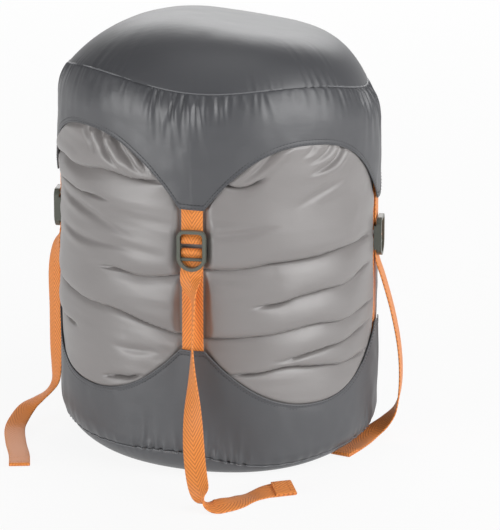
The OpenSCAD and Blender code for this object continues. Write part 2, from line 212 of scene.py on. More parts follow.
# %% Camera
CAMERA_TURN = 8.87
CAMERA_SIDE = 22.6
CAMERA_AWAY = 2643
CAMERA_HEIGHT = 902
CAMERA_PITCH = 16.4
CAMERA_LENS = 256.3

camera = bpy.data.objects.new("camera", bpy.data.cameras.new("camera"))
bpy.context.scene.collection.objects.link(camera)
turn = Matrix.Rotation(math.radians(CAMERA_TURN), 3, "Z")
camera.location = turn @ Vector((CAMERA_SIDE, -CAMERA_AWAY, CAMERA_HEIGHT)) * MM
camera.rotation_euler = (math.radians(90 - CAMERA_PITCH), 0, math.radians(CAMERA_TURN))
camera.data.lens = CAMERA_LENS
camera.data.sensor_width = 36
camera.data.clip_end = 20
bpy.context.scene.camera = camera
print("the camera is %.2f m away" % camera.location.length)

# %% [markdown]
# ## Making meshes
#
# Cloth and webbing are sheets, so nearly every piece here is a grid of points. A modelled plane with
# modifiers would do too, but points worked out in numpy let a fold be put at a chosen place.
# `grid_piece` turns such a grid into a mesh, with UVs in millimetres for the weave.

# %% Grids of points


def mesh_piece(name, points, faces, uv=None, smooth=True):
    """A mesh from points in millimetres, with a UV for each point if there are any."""
    mesh = bpy.data.meshes.new(name)
    mesh.from_pydata((np.asarray(points) * MM).tolist(), [], faces)
    if uv is not None:
        layer = mesh.uv_layers.new(name="cut")
        loops = np.zeros(len(mesh.loops), np.int32)
        mesh.loops.foreach_get("vertex_index", loops)
        layer.data.foreach_set("uv", np.asarray(uv, np.float32)[loops].ravel())
    mesh.polygons.foreach_set("use_smooth", [smooth] * len(mesh.polygons))
    mesh.update()
    piece = bpy.data.objects.new(name, mesh)
    bpy.context.scene.collection.objects.link(piece)
    return piece


def grid_faces(rows, cols):
    """Four-sided faces of a grid whose last column is joined to its first."""
    j, i = np.meshgrid(np.arange(rows - 1), np.arange(cols), indexing="ij")
    k = (i + 1) % cols
    quads = np.stack([j * cols + i, j * cols + k, (j + 1) * cols + k, (j + 1) * cols + i], axis=-1)
    return quads.reshape(-1, 4).tolist()


def grid_piece(name, grid, uv=None):
    """A mesh from a grid of points whose last column is joined to its first."""
    flat_uv = None if uv is None else uv.reshape(-1, 2)
    return mesh_piece(name, grid.reshape(-1, 3), grid_faces(*grid.shape[:2]), flat_uv)


print("a closed band of 3 rows and 8 columns has", len(grid_faces(3, 8)), "faces")

# %% [markdown]
# Webbing and stitches follow lines. Blender has curves for that, but here the points are needed as numbers.
# `smooth_path` draws a curve through a few points. `even_path` spaces its points evenly, which a row of
# stitches needs.

# %% Paths


def unit(v):
    """The same direction, with a length of 1."""
    return v / np.linalg.norm(v, axis=-1, keepdims=True)


def smooth_path(points, steps):
    """A smooth cubic curve through the points, with so many steps between two of them."""
    p = np.asarray(points, float)
    p = np.vstack([p[:1], p, p[-1:]])
    t = (np.arange(steps) / steps)[:, None]
    parts = []
    for a, b, c, d in zip(p[:-3], p[1:-2], p[2:-1], p[3:]):
        parts.append(0.5 * (2 * b + (c - a) * t + (2 * a - 5 * b + 4 * c - d) * t**2
                            + (3 * b - 3 * c + d - a) * t**3))
    return np.vstack(parts + [p[-1:]])


def run_along(points):
    """How far along a path each of its points is."""
    return np.concatenate([[0], np.cumsum(np.linalg.norm(np.diff(points, axis=0), axis=1))])


def even_path(points, sides, step):
    """The same path with points an even distance apart, and the width's directions to go with it."""
    run = run_along(points)
    at = np.linspace(0, run[-1], max(3, int(run[-1] / step) + 1))

    def pick(values):
        return np.stack([np.interp(at, run, values[:, k]) for k in range(3)], axis=1)

    return pick(points), pick(sides), at


corner = smooth_path([(0, 0, 0), (10, 0, 0), (10, 10, 0)], 8)
print("a smooth path round a corner of 20 mm is %.1f mm long" % run_along(corner)[-1])

# %% [markdown]
# ## Uneven cloth
#
# No two hand breadths of packed cloth are alike. Blender has noise textures for this, but here the unevenness
# has to move points and close on itself round the sack. So `ripple` mixes a small table of random numbers,
# with a fixed seed, so that each run gives the same cloth.

# %% Noise that closes on itself round the sack
NOISE_TALL = 400


def ease(x):
    """From 0 to 1 with a soft start and a soft end."""
    return x * x * (3 - 2 * x)


def ripple(a, z, cells, height, seed):
    """Smooth random relief from -1 to 1: so many cells round the sack, each so many millimetres tall."""
    rng = np.random.default_rng(seed)
    rows = int(NOISE_TALL / height) + 4
    table = rng.uniform(-1, 1, (rows, cells))
    x = (np.asarray(a, float) % 360) / 360 * cells
    y = np.clip(np.asarray(z, float) / height + 1, 0, rows - 2.001)
    i, j = np.floor(x).astype(int), np.floor(y).astype(int)
    fx, fy = ease(x - i), ease(y - j)
    i, k = i % cells, (i + 1) % cells
    low = table[j, i] * (1 - fx) + table[j, k] * fx
    high = table[j + 1, i] * (1 - fx) + table[j + 1, k] * fx
    return low * (1 - fy) + high * fy


def bump(x, width):
    """A soft hill of height 1, so many millimetres or degrees to each side."""
    return np.exp(-((x / width) ** 2))


sample = ripple(np.arange(360), 50, 14, 46, 3)
print("one ripple round the sack runs from %.2f to %.2f" % (sample.min(), sample.max()))

# %% [markdown]
# ## Materials
#
# Four cloths, webbing, two plastics, cord, two threads and wire. Colours are written as sRGB hex, as a paint
# program shows them, and one function turns them to linear light, which is what shaders add up.
# `add` makes a node, sets its fields and links its inputs, so that a material reads as a short list.
# `fill` does the last part for a node that is already there.

# %% Material helpers


def colour(text):
    """An sRGB hex value as linear light, with an alpha of 1."""
    c = [int(text[i:i + 2], 16) / 255 for i in (1, 3, 5)]
    return [v / 12.92 if v <= 0.04045 else ((v + 0.055) / 1.055) ** 2.4 for v in c] + [1]


def fill(tree, node, **inputs):
    """Fills or links a node's inputs, by name, or by number as i0, i1 and so on."""
    for key, value in inputs.items():
        numbered = key[0] == "i" and key[1:].isdigit()
        socket = node.inputs[int(key[1:]) if numbered else key.replace("_", " ")]
        if isinstance(value, bpy.types.NodeSocket):
            tree.links.new(value, socket)
        else:
            socket.default_value = value


def add(tree, kind, settings=None, **inputs):
    """Adds a node, sets its fields, and fills or links its inputs."""
    node = tree.nodes.new(kind)
    for field, value in (settings or {}).items():
        setattr(node, field, value)
    fill(tree, node, **inputs)
    return node


def new_material(name):
    """A fresh material, with its node tree and its main shader."""
    material = bpy.data.materials.new(name)
    material.use_nodes = True
    tree = material.node_tree
    return material, tree, tree.nodes["Principled BSDF"]


print("middle grey is", round(colour("#808080")[0], 3), "in linear light")

# %% [markdown]
# ## Coated nylon
#
# The cloth is thin nylon that was pressed between hot rollers and coated on its inside. Rollers flatten the
# threads, and that gives a satin shine that is brightest where the surface turns towards a lamp. Real threads
# are about 0.1 mm wide, too fine for one pixel, so the weave is drawn coarser, at 0.5 mm. A slow noise,
# drawn out sideways, adds the crinkle that stays in cloth that has been stuffed in a sack.

# %% Coated nylon, plain weave
# at scale 1, the bands of a wave texture are this far apart
WAVE_STEP = 0.314


def nylon(name, base, rough, shine=0.5, thread_mm=0.5, sheen=0.15, crinkle=0.12):
    """Calendered nylon: threads across and along, a fine crinkle and a satin shine."""
    material, tree, shader = new_material(name)
    fill(tree, shader, Base_Color=colour(base), Roughness=rough, Specular_IOR_Level=shine,
         Sheen_Weight=sheen, Sheen_Roughness=0.4)
    place = add(tree, "ShaderNodeUVMap", {"uv_map": "cut"}).outputs["UV"]
    threads = []
    for direction in "XY":
        bands = {"wave_type": "BANDS", "bands_direction": direction}
        wave = add(tree, "ShaderNodeTexWave", bands,
                   Vector=place, Scale=WAVE_STEP / thread_mm, Distortion=0.0)
        threads.append(wave.outputs["Fac"])
    weave = add(tree, "ShaderNodeMath", {"operation": "MAXIMUM"}, i0=threads[0], i1=threads[1])
    # the crinkle: noise in cells of about 3.3 mm, drawn out to 9.5 mm round the sack
    drawn = add(tree, "ShaderNodeMapping", Vector=place, Scale=(0.35, 1, 1)).outputs["Vector"]
    soft = add(tree, "ShaderNodeTexNoise", Vector=drawn, Scale=0.3, Detail=3.0, Roughness=0.55)
    first = add(tree, "ShaderNodeBump", Strength=crinkle, Distance=0.8 * MM,
                Height=soft.outputs["Fac"])
    second = add(tree, "ShaderNodeBump", Strength=0.05, Distance=0.1 * MM,
                 Height=weave.outputs["Value"], Normal=first.outputs["Normal"])
    fill(tree, shader, Normal=second.outputs["Normal"])
    return material


# charcoal with a broad, soft shine: the lid goes from nearly white at its back to nearly black in front
DARK_NYLON = nylon("dark_grey_coated_nylon", "#424347", 0.48, 0.95)
# warm light grey, a little smoother: each puff between two folds has its own gentle gradient
GREY_NYLON = nylon("light_grey_coated_nylon", "#858180", 0.42, 0.9)
# two layers of the dark cloth, folded flat: the same charcoal, set off by the two rows sewn along it
BINDING = nylon("folded_edge_dark_nylon", "#444549", 0.46, 0.8)
# the turned edge is the same dark cloth, painted paler along its whole length as a highlight: a thin pale
# line along each seam
SEAM_EDGE_PAINTED_HIGHLIGHT = nylon("turned_seam_edge_painted_highlight_nylon", "#6e6f72", 0.4)
print("cloths:", DARK_NYLON.name, GREY_NYLON.name, BINDING.name, SEAM_EDGE_PAINTED_HIGHLIGHT.name)

# %% [markdown]
# ## Webbing
#
# Narrow webbing is woven with ribs that meet in a point along the middle: a herringbone. A picture of it
# could be laid on, but a few nodes can draw it at any size. The distance from the middle line, times a
# slope, is added to the distance along the strap, and a sine of the sum gives the ribs. Ribs on such webbing
# are often about 1 mm apart. They are drawn 3.4 mm apart along the strap, which is 1.8 mm across a rib,
# because finer ones don't show at this distance.

# %% Herringbone webbing


def webbing(name, base, groove, rib_mm=3.4, steep=1.6):
    """Ribs that meet in a point on the middle line. UVs are millimetres across and along."""
    material, tree, shader = new_material(name)
    place = add(tree, "ShaderNodeUVMap", {"uv_map": "cut"}).outputs["UV"]
    parts = add(tree, "ShaderNodeSeparateXYZ", Vector=place).outputs
    off = add(tree, "ShaderNodeMath", {"operation": "ABSOLUTE"}, i0=parts["X"])
    slope = add(tree, "ShaderNodeMath", {"operation": "MULTIPLY"}, i0=off.outputs["Value"], i1=steep)
    phase = add(tree, "ShaderNodeMath", {"operation": "ADD"}, i0=parts["Y"], i1=slope.outputs["Value"])
    turns = add(tree, "ShaderNodeMath", {"operation": "MULTIPLY"},
                i0=phase.outputs["Value"], i1=2 * math.pi / rib_mm)
    wave = add(tree, "ShaderNodeMath", {"operation": "SINE"}, i0=turns.outputs["Value"])
    ramp = add(tree, "ShaderNodeMapRange", Value=wave.outputs["Value"],
               From_Min=-1.0, From_Max=0.3, To_Min=0.0, To_Max=1.0)
    # single threads differ a little: flecks of about 0.6 mm
    fleck = add(tree, "ShaderNodeTexNoise", Vector=place, Scale=1.6, Detail=2.0)
    mix = add(tree, "ShaderNodeMix", {"data_type": "RGBA"}, i0=ramp.outputs["Result"],
              i6=colour(groove), i7=colour(base))
    tint = add(tree, "ShaderNodeMapRange", Value=fleck.outputs["Fac"],
               From_Min=0.3, From_Max=0.7, To_Min=0.88, To_Max=1.06)
    shade = add(tree, "ShaderNodeMix", {"data_type": "RGBA", "blend_type": "MULTIPLY"}, i0=1.0,
                i6=mix.outputs[2], i7=tint.outputs["Result"])
    height = add(tree, "ShaderNodeBump", Strength=0.2, Distance=0.3 * MM, Height=wave.outputs["Value"])
    fill(tree, shader, Base_Color=shade.outputs[2], Normal=height.outputs["Normal"],
         Roughness=0.55, Sheen_Weight=0.2)
    return material


# bright orange ribs with rust-coloured grooves: the strap looks woven even from far away
WEBBING = webbing("orange_herringbone_webbing", "#f79844", "#cf732f")
print("webbing:", WEBBING.name, "with", len(WEBBING.node_tree.nodes), "nodes")

# %% [markdown]
# ## Plastic, thread, cord and wire
#
# Buckles and cord locks are moulded from acetal in spark-eroded moulds, which leaves a fine grain. That grain
# breaks up the shine, so the plastic has a dull gloss and no mirror images. The cord's braid is drawn as the
# same kind of grain. Thread and wire are so thin that a plain colour and roughness are enough.

# %% Moulded plastic, thread, cord and steel


def plain(name, base, rough, metallic=0.0, grain_mm=0.0):
    """One colour, with a fine grain if it has a size."""
    material, tree, shader = new_material(name)
    fill(tree, shader, Base_Color=colour(base), Roughness=rough, Metallic=metallic)
    if grain_mm:
        place = add(tree, "ShaderNodeTexCoord").outputs["Object"]
        grain = add(tree, "ShaderNodeTexNoise", Vector=place, Scale=1 / (grain_mm * MM), Detail=2.0)
        height = add(tree, "ShaderNodeBump", Strength=0.12, Distance=0.05 * MM, Height=grain.outputs["Fac"])
        fill(tree, shader, Normal=height.outputs["Normal"])
    return material


# olive grey with soft highlights on the rounded rims
BUCKLE_PLASTIC = plain("moulded_acetal_olive_grey", "#5e6158", 0.33, grain_mm=0.4)
# black, dull: hidden under the lid until the sack is opened
LOCK_PLASTIC = plain("moulded_acetal_black", "#2b2b2d", 0.42, grain_mm=0.4)
# bright bare wire
SPRING_STEEL = plain("drawn_spring_wire", "#b5b7ba", 0.3, metallic=1.0)
# matt black with a rough braid
CORD = plain("braided_cord_black", "#2b2b2d", 0.7, grain_mm=0.6)
# darker than the cloth, so a row of stitches reads as fine dashes
THREAD = plain("polyester_thread_dark", "#2a2b2e", 0.6)
# sunk in the webbing: its darker orange is painted shade for where it dives in
ORANGE_THREAD_PAINTED_SHADE = plain("polyester_thread_orange_painted_shade", "#b85c22", 0.6)
print(len(bpy.data.materials), "materials in the file, the frame's own among them")

# %% [markdown]
# ## Straps
#
# Each strap is one length of webbing: up from its base tab, over the buckle's second bar,
# back behind the locking bar and down as a free tail. It is cut into three pieces: the standing part,
# the wrap and the tail.
#
# A tail could be dropped as cloth, but then it lies where it falls, and each tail here has to lie in a
# given way. So each is a curve through a few points, which also say how its width lies, and no point
# comes lower than the floor lets it.

# %% Plies, bars and tails, in millimetres
PLY_1 = TUBE_R + PLY_GAP
PLY_2 = PLY_1 + STRAP_T + PLY_GAP
# the buckle's bars, and how webbing turns round them: its middle layer runs at WRAP_MID from a bar's axis
BAR_R = 1.1
BAR_GAP = 0.3
WRAP_MID = BAR_R + BAR_GAP + STRAP_T / 2
BAR_OUT = PLY_1 + STRAP_T / 2 + WRAP_MID
BAR_1_UP = 6.8
BAR_2_UP = -1.2
WRAP_LOW = 5
FLOOR_GAP = 0.15

# across, out from the skirt, share of the lip's height, and the way the width lies
TAILS = {
    "front": [(-1, -0.9, 0.97, 1, 0, 0), (0, 3, 0.92, 0.75, 0.65, 0), (2, 6, 0.86, 0.3, 0.95, 0),
              (2, 8.5, 0.76, 0.2, 1, 0), (2, 11, 0.64, 0.2, 1, 0), (3, 17, 0.5, 0.5, 0.85, 0),
              (5, 28, 0.34, 0.9, 0.4, 0), (8, 40, 0.21, 1, 0, 0.05), (12, 52, 0.12, 0.97, 0.2, 0),
              (16, 60, 0.065, 0.8, 0.6, 0), (20, 63, 0.035, 0.35, 0.93, -0.1),
              (26, 63, 0.02, 0.25, 0.9, -0.3), (33, 58, 0, 0.45, 0.8, -0.3),
              (39, 50, 0, 0.7, 0.65, -0.2), (43, 41, 0, 0.85, 0.5, -0.1), (48, 33, 0, 0.75, 0.65, 0),
              (56, 26, 0, 0.55, 0.8, -0.2), (64, 22, 0, 0.5, 0.8, -0.3), (74, 17, 0, 0.5, 0.8, -0.3)],
    "right": [(0, -0.6, 0.97, 1, 0, 0), (0, 4, 0.87, 1, 0, 0), (1, 11, 0.68, 1, 0, 0),
              (1, 16, 0.48, 1, 0, 0), (1, 17, 0.3, 1, 0, 0), (0, 14, 0.16, 1, -0.1, 0.1),
              (-3, 6, 0.08, 0.9, -0.4, 0.2), (-8, -3, 0.03, 0.6, -0.8, 0.1), (-20, -9, 0, 0.3, -0.95, 0),
              (-36, -14, 0, 0.35, -0.95, 0), (-52, -20, 0, 0.4, -0.9, 0)],
    "back": [(0, -0.6, 0.97, 1, 0, 0), (0, 3, 0.87, 1, 0, 0), (1, 8, 0.68, 1, 0.1, 0),
             (2, 9, 0.48, 0.9, 0.2, 0), (2, 9, 0.32, 0.9, 0.2, 0), (0, 11, 0.18, 0.9, 0.2, 0.1),
             (-6, 16, 0.09, 0.8, -0.5, 0.2), (-14, 22, 0.03, 0.5, -0.8, 0.1), (-28, 24, 0, 0.1, -1, 0),
             (-46, 20, 0, 0.3, -0.95, 0), (-64, 12, 0, 0.4, -0.9, 0), (-80, 3, 0, 0.5, -0.85, 0)],
    "left": [(0, -0.6, 0.97, 1, 0, 0), (0, 3.5, 0.89, 0.85, -0.5, 0), (-1, 5.5, 0.76, 0.7, -0.7, 0),
             (-2, 5.5, 0.56, 0.7, -0.7, 0), (-2, 5.5, 0.38, 0.7, -0.7, 0), (0, 5, 0.27, 0.75, -0.6, 0.1),
             (2, 5.5, 0.2, 0.8, -0.5, 0.2), (5, 10, 0.15, 0.8, -0.5, 0.3),
             (9, 17, 0.115, 0.6, -0.75, 0.25), (15, 24, 0.085, 0.3, -0.95, 0.1),
             (25, 28, 0.05, 0.15, -1, 0), (38, 29, 0.02, 0, -1, 0), (62, 23, 0, -0.2, -0.95, 0),
             (88, 15, 0, -0.25, -0.95, 0), (110, 10, 0, -0.2, -1, 0)],
}
for side, points in TAILS.items():
    print("the", side, "tail goes through", len(points), "points")

# %% [markdown]
# All routes are worked out for the front strap, where -Y is outwards, and turned to the other straps later.
# The lid leans, so the four buckles hang at different heights, and each height is asked of its own buckle.

# %% Routes of the webbing


def buckle_z(side):
    """Height of a buckle's middle."""
    return (top_of("buckle_" + side, 2) + low_of("buckle_" + side, 2)) / 2


def lip_z(side):
    """Height of a buckle's lower lip."""
    return low_of("buckle_" + side, 2)


def standing_route(side, angle):
    """From behind the base tab up to just under the second bar."""
    r = PLY_1 + STRAP_T / 2
    heights = [base_edge(angle) - STRAP_SEWN, base_edge(angle)]
    heights += [lip_z(side), buckle_z(side) + BAR_2_UP - WRAP_LOW]
    return np.array([(0, -r, z) for z in heights])


def round_bar(z, start, end):
    """Round a bar at a height, between two angles: 0 is outside it, a half turn is behind it."""
    return [(0, -(BAR_OUT + WRAP_MID * math.cos(t)), z + WRAP_MID * math.sin(t))
            for t in np.linspace(start, end, 13)]


def wrap_route(side):
    """Over the second bar and back behind the locking bar."""
    z = buckle_z(side) + BAR_2_UP
    r1, r2 = PLY_1 + STRAP_T / 2, PLY_2 + STRAP_T / 2
    up = [(0, -r1, z - WRAP_LOW), (0, -r1, z - 2)]
    down = [(0, -(BAR_OUT + WRAP_MID - 0.1), z - 0.9), (0, -(r2 + 0.9), z - 2.9), (0, -r2, z - WRAP_LOW)]
    return np.array(up + round_bar(z, math.pi, 0) + down)


def tail_route(side):
    """The free end, from behind the locking bar to the floor, with the direction of its width."""
    r2 = PLY_2 + STRAP_T / 2
    points = [(0, -r2, buckle_z(side) + BAR_2_UP - WRAP_LOW), (0, -r2, lip_z(side) + 3)]
    sides = [(1, 0, 0), (1, 0, 0)]
    for u, w, share, su, sw, sz in TAILS[side]:
        s = unit(np.array([su, -sw, sz], float))
        rest = abs(s[2]) * STRAP_W / 2 + math.sqrt(1 - s[2] ** 2) * STRAP_T / 2 + FLOOR_GAP
        points.append((u, -(LID_OUT + w), max(share * lip_z(side), rest)))
        sides.append(tuple(s))
    return smooth_path(points, 8), smooth_path(sides, 8)


def loop_route(side, angle):
    """Doubled webbing behind the lid tab, opened round the buckle's first bar."""
    z = buckle_z(side) + BAR_1_UP
    tip = LID_TAB_Z + lean(LID_OUT, angle)
    r1, r2 = PLY_1 + STRAP_T / 2, PLY_1 + STRAP_T * 1.5
    down = [(0, -r2, h) for h in (tip + STRAP_SEWN, tip + 8, z + 7.5)]
    down += [(0, -(r2 + 0.2), z + 4.4), (0, -(BAR_OUT + WRAP_MID - 0.5), z + 1.5)]
    up = [(0, -r1, h) for h in (z + 4, z + 7.5, tip + 8, tip + STRAP_SEWN)]
    return np.array(down + round_bar(z, 0, -math.pi) + up)


for side in STRAPS:
    print("the %s buckle's middle is %.1f mm up, its lip %.1f" % (side, buckle_z(side), lip_z(side)))

# %% [markdown]
# Webbing has round edges, and they catch a thin line of light. So the strap is not a flat strip: a section of
# sixteen points is carried along the route, and its width follows the directions given with the route.

# %% Webbing with rounded edges
EDGE = [(-1, 0), (-0.985, 0.7), (-0.93, 1), (-0.5, 1), (0, 1), (0.5, 1), (0.93, 1), (0.985, 0.7)]
SECTION = np.array(EDGE + [(-x, -y) for x, y in EDGE])


def spin_of(angle):
    """Turns points of the front strap's frame to another strap."""
    c, q = math.cos(math.radians(angle)), math.sin(math.radians(angle))
    return np.array([[c, q, 0], [-q, c, 0], [0, 0, 1]])


def ribbon(name, path, sides, angle, run_from=0.0, thick=STRAP_T, step=1.6):
    """Webbing along a path in the front strap's frame, turned to its own strap."""
    p, s, run = even_path(path, sides, step)
    d = unit(np.gradient(p, axis=0))
    s = unit(s - np.sum(s * d, axis=1, keepdims=True) * d)
    n = np.cross(d, s)
    x, y = SECTION[:, 0] * STRAP_W / 2, SECTION[:, 1] * thick / 2
    rings = p[:, None] + s[:, None] * x[None, :, None] + n[:, None] * y[None, :, None]
    spin = spin_of(angle)
    rings = rings @ spin
    rows, cols = rings.shape[:2]
    faces = [f[::-1] for f in grid_faces(rows, cols)]
    faces += [list(range(cols)), [(rows - 1) * cols + i for i in range(cols)][::-1]]
    uv = np.stack(np.broadcast_arrays(x[None, :], (run + run_from)[:, None]), axis=-1)
    piece = mesh_piece(name, rings.reshape(-1, 3), faces, uv.reshape(-1, 2))
    piece["run"] = float(run[-1])
    return piece, (p @ spin) * MM


def dress(piece, material, slot, *nodes):
    """Gives a piece its material and hides the solids that it takes the place of. `slot` is not used."""
    piece.data.materials.clear()
    piece.data.materials.append(material)
    if nodes:
        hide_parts(*nodes)


print("the webbing's section has", len(SECTION), "points")

# %% [markdown]
# ## Stitches
#
# A stitch is a short thread, thickest in the middle, that dives into the cloth at both ends. A texture could
# paint it, but real shapes cast their own small shadows. Each stitch is a slim diamond of four faces, half
# sunk, so a whole row costs little.

# %% Rows of stitches
# from one stitch to the next, the length of one, and half its width
EDGE_STITCH = (2.6, 1.9, 0.22)
END_STITCH = (2.2, 1.7, 0.25)
# a stitch's five corners are its start, one side, its top, the other side and its end
STITCH_FACES = np.array([(0, 1, 2), (0, 2, 3), (4, 2, 1), (4, 3, 2)])


def stitches(name, line, out, sizes, material, closed=True):
    """A row of short threads along a line: each is a slim diamond, half sunk in the cloth."""
    pitch, long, thick = sizes
    if closed:
        line, out = np.vstack([line, line[:1]]), np.vstack([out, out[:1]])
    p, n, _ = even_path(line, out, pitch)
    d = unit(np.gradient(p, axis=0))
    side = np.cross(d, n)
    corners = [d * -long / 2, side * thick, n * thick, -side * thick, d * long / 2]
    points = np.stack([p + c for c in corners], axis=1)[:-1]
    first_corner = np.arange(len(points))[:, None, None] * len(corners)
    faces = (first_corner + STITCH_FACES).reshape(-1, 3).tolist()
    piece = mesh_piece(name, points.reshape(-1, 3), faces, smooth=False)
    piece.data.materials.append(material)
    return piece


print("a stitch has", len(STITCH_FACES), "faces")

# %% [markdown]
# ## Four straps
#
# The end of a tail is folded back and sewn down with two rows, so that it can't slip out of its buckle. A
# thicker strip would be simpler, but a second ply with a round turn shows how the end is made.

# %% The folded end of a tail
FOLD_BACK = 14
FOLD_GAP = 0.16
ROWS_FROM_END = (3, FOLD_BACK - 2)
ROW_SHARE = 0.42
TO_CAMERA = np.array([0.16, -0.94, 0.3])


def folded_end(side, route, sides, angle):
    """The last stretch turned back on itself, on the face that shows, and two rows of stitches across it."""
    # points about 1 mm apart, so that counting points counts millimetres
    p, s, _ = even_path(route, sides, 1.0)
    d = unit(p[-1] - p[-4])
    s = unit(s[-1] - (s[-1] @ d) * d)
    n = np.cross(d, s)
    n = n * np.sign(n @ spin_of(angle) @ TO_CAMERA)
    half = STRAP_T / 2 + FOLD_GAP / 2
    turn = [p[-1] + d * half * math.sin(t) + n * half * (1 - math.cos(t)) for t in np.linspace(0, math.pi, 9)]
    back = [p[-1 - k] + n * half * 2 for k in range(1, FOLD_BACK + 1)]
    path = np.array(turn + back)
    end, _ = ribbon("strap_end_" + side, path, np.tile(s, (len(path), 1)), angle, step=0.5)
    dress(end, WEBBING, "webbing", "strap_" + side)
    rows = []
    for k in ROWS_FROM_END:
        middle = p[-1 - k] + n * (half * 2 + STRAP_T / 2)
        row = np.stack([middle + s * STRAP_W * f for f in (-ROW_SHARE, 0, ROW_SHARE)]) @ spin_of(angle)
        out = np.tile(n @ spin_of(angle), (3, 1))
        rows.append(stitches("strap_end_stitches_%s_%d" % (side, k), row, out, END_STITCH, ORANGE_THREAD_PAINTED_SHADE,
                             closed=False))
    return [end] + rows


print(FOLD_BACK, "mm of a tail are folded back, with", len(ROWS_FROM_END), "rows of stitches")

# %% [markdown]
# Now each strap is laid along its routes. `run` counts its millimetres, so that the herringbone goes on from
# one piece to the next.

# %% Straps, tails and loops


def across(path):
    """The width of a strap that lies flat on the sack."""
    return np.tile([1.0, 0, 0], (len(path), 1))


for side, angle in STRAPS.items():
    route = smooth_path(standing_route(side, angle), 12)
    standing, _ = ribbon("strap_standing_" + side, route, across(route), angle)
    run = standing["run"]
    dress(standing, WEBBING, "webbing", "strap_" + side)
    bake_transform(standing)

    route = smooth_path(wrap_route(side), 4)
    wrap, _ = ribbon("strap_wrap_" + side, route, across(route), angle, run, step=0.7)
    run += wrap["run"]
    dress(wrap, WEBBING, "webbing", "strap_" + side)
    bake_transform(wrap)

    route, sides = tail_route(side)
    tail, line = ribbon("strap_tail_" + side, route, sides, angle, run)
    dress(tail, WEBBING, "webbing", "strap_" + side)
    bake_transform(tail)
    end_pieces = folded_end(side, route, sides, angle)
    for piece in end_pieces:
        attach(piece, "base")

    route = smooth_path(loop_route(side, angle), 4)
    loop, _ = ribbon("strap_loop_" + side, route, across(route), angle, thick=STRAP_T - 0.1, step=0.8)
    dress(loop, WEBBING, "webbing", "loop_" + side)
    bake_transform(loop)

    dress(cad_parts["buckle_" + side], BUCKLE_PLASTIC, "buckle_plastic")
    print("%s strap: %.0f mm up to the end of its wrap, and a tail of %.0f mm" % (side, run, tail["run"]))

# %% [markdown]
# ## The light grey tube
#
# Cloth that is pressed down along its length folds across it. Each fold is a line round the
# sack: under it the cloth comes out of a crease, over it a puffed lip hangs down across the crease.
# A simulation finds folds of its own, at places that nobody can choose. These were placed one by one to match
# the photo: each is drawn as a line and pressed into the cloth, with a pointed end on both sides.

# %% Folds: (angle, height) along each crease, how deep it is and how far the lip hangs over it
FOLDS = [
    ([(-92, 216), (-70, 220), (-53, 220.5), (-40, 221.5), (-30, 219.5), (-21, 217), (-6, 214)], 11, 6.5),
    ([(-86, 200), (-76, 198.5), (-61, 199), (-49, 198.5), (-40, 198), (-30, 197)], 6, 3.5),
    ([(-88, 134), (-70, 126.5), (-58, 123.5), (-44, 122), (-29, 119), (-18, 114.5), (-4, 108.5), (4, 107),
      (13, 106.5), (24, 108), (38, 110), (48, 110.5), (59, 109), (84, 110)], 8, 5),
    ([(-88, 104), (-72, 99), (-63, 97), (-50, 95)], 6, 3.5),
    ([(-38, 66.5), (-30, 68.5), (-24, 69.5), (-17, 73)], 4, 2),
    ([(6, 216), (13, 215.5), (18, 215.5), (22, 216.5), (28, 219)], 5, 3),
    ([(-40, 147), (-30, 148.5), (-21, 149), (-12, 150), (-4, 152.5), (4, 156.5), (16, 158), (32, 159.5),
      (46, 159.5), (62, 161), (84, 158)], 8.5, 5),
    ([(18, 126.5), (26, 127.5), (32, 129), (38, 132.5), (46, 134.5), (59, 134.5), (82, 139)], 8, 5),
    ([(26, 85.5), (36, 86.5), (45, 89.5), (58, 91), (82, 96)], 6, 3.5),
    ([(9, 77), (22, 77), (32, 80), (44, 78.5), (59, 74.5), (80, 74)], 7, 4),
]
# broad, shallow folds of slack cloth
SLACK = [
    ([(-75, 192), (-61, 188), (-43, 184), (-30, 178), (-18, 172)], 0.8, 0.3),
    ([(5, 178), (16, 181), (28, 182.5), (34, 182)], 0.8, 0.3),
    ([(-70, 168), (-50, 164), (-35, 165), (-20, 166)], 0.8, 0.3),
    ([(-34, 92), (-22, 90), (-10, 92)], 0.8, 0.3),
    ([(36, 196), (48, 203), (62, 211)], 0.8, 0.3),
]
# short pleats that hang from the lid's edge, with their depth
PLEATS = [
    ([(-44.5, 250), (-43.5, 244), (-41.5, 239), (-38.5, 232)], 4.5),
    ([(-38.5, 250), (-36.5, 243), (-34.5, 235.5), (-31, 229), (-26, 223)], 6.5),
    ([(-30.5, 245), (-28, 238), (-24.5, 231.5), (-21, 225.5), (-17, 220.5)], 6.5),
    ([(-20.5, 239), (-19, 232.5), (-17.5, 226.5), (-15, 219)], 4.5),
    ([(61, 240), (58.5, 231), (54, 223.5), (43, 218)], 4),
    ([(56, 244), (51, 232), (43, 226)], 3),
    ([(47, 247), (44, 236), (40, 231)], 2),
    ([(30, 240), (23, 226), (15, 219)], 3),
]
# where folds start on the sides that don't show, round the sack and up it
BACK_ANGLES = (94, 186)
BACK_HEIGHTS = (84, 106, 128, 150, 172, 196, 216)
print(len(FOLDS), "creases,", len(SLACK), "slack folds and", len(PLEATS), "pleats on the sides that show")

# %% [markdown]
# To press a line into the cloth, each point has to know how far above the line it lies and how far along it.
# `along_line` finds the nearest stretch of a line for all points at once, and `near_line` leaves out points
# that are too far round the sack.

# %% Where points lie beside a line
# points more than this past the end of a line are left alone
REACH = 50


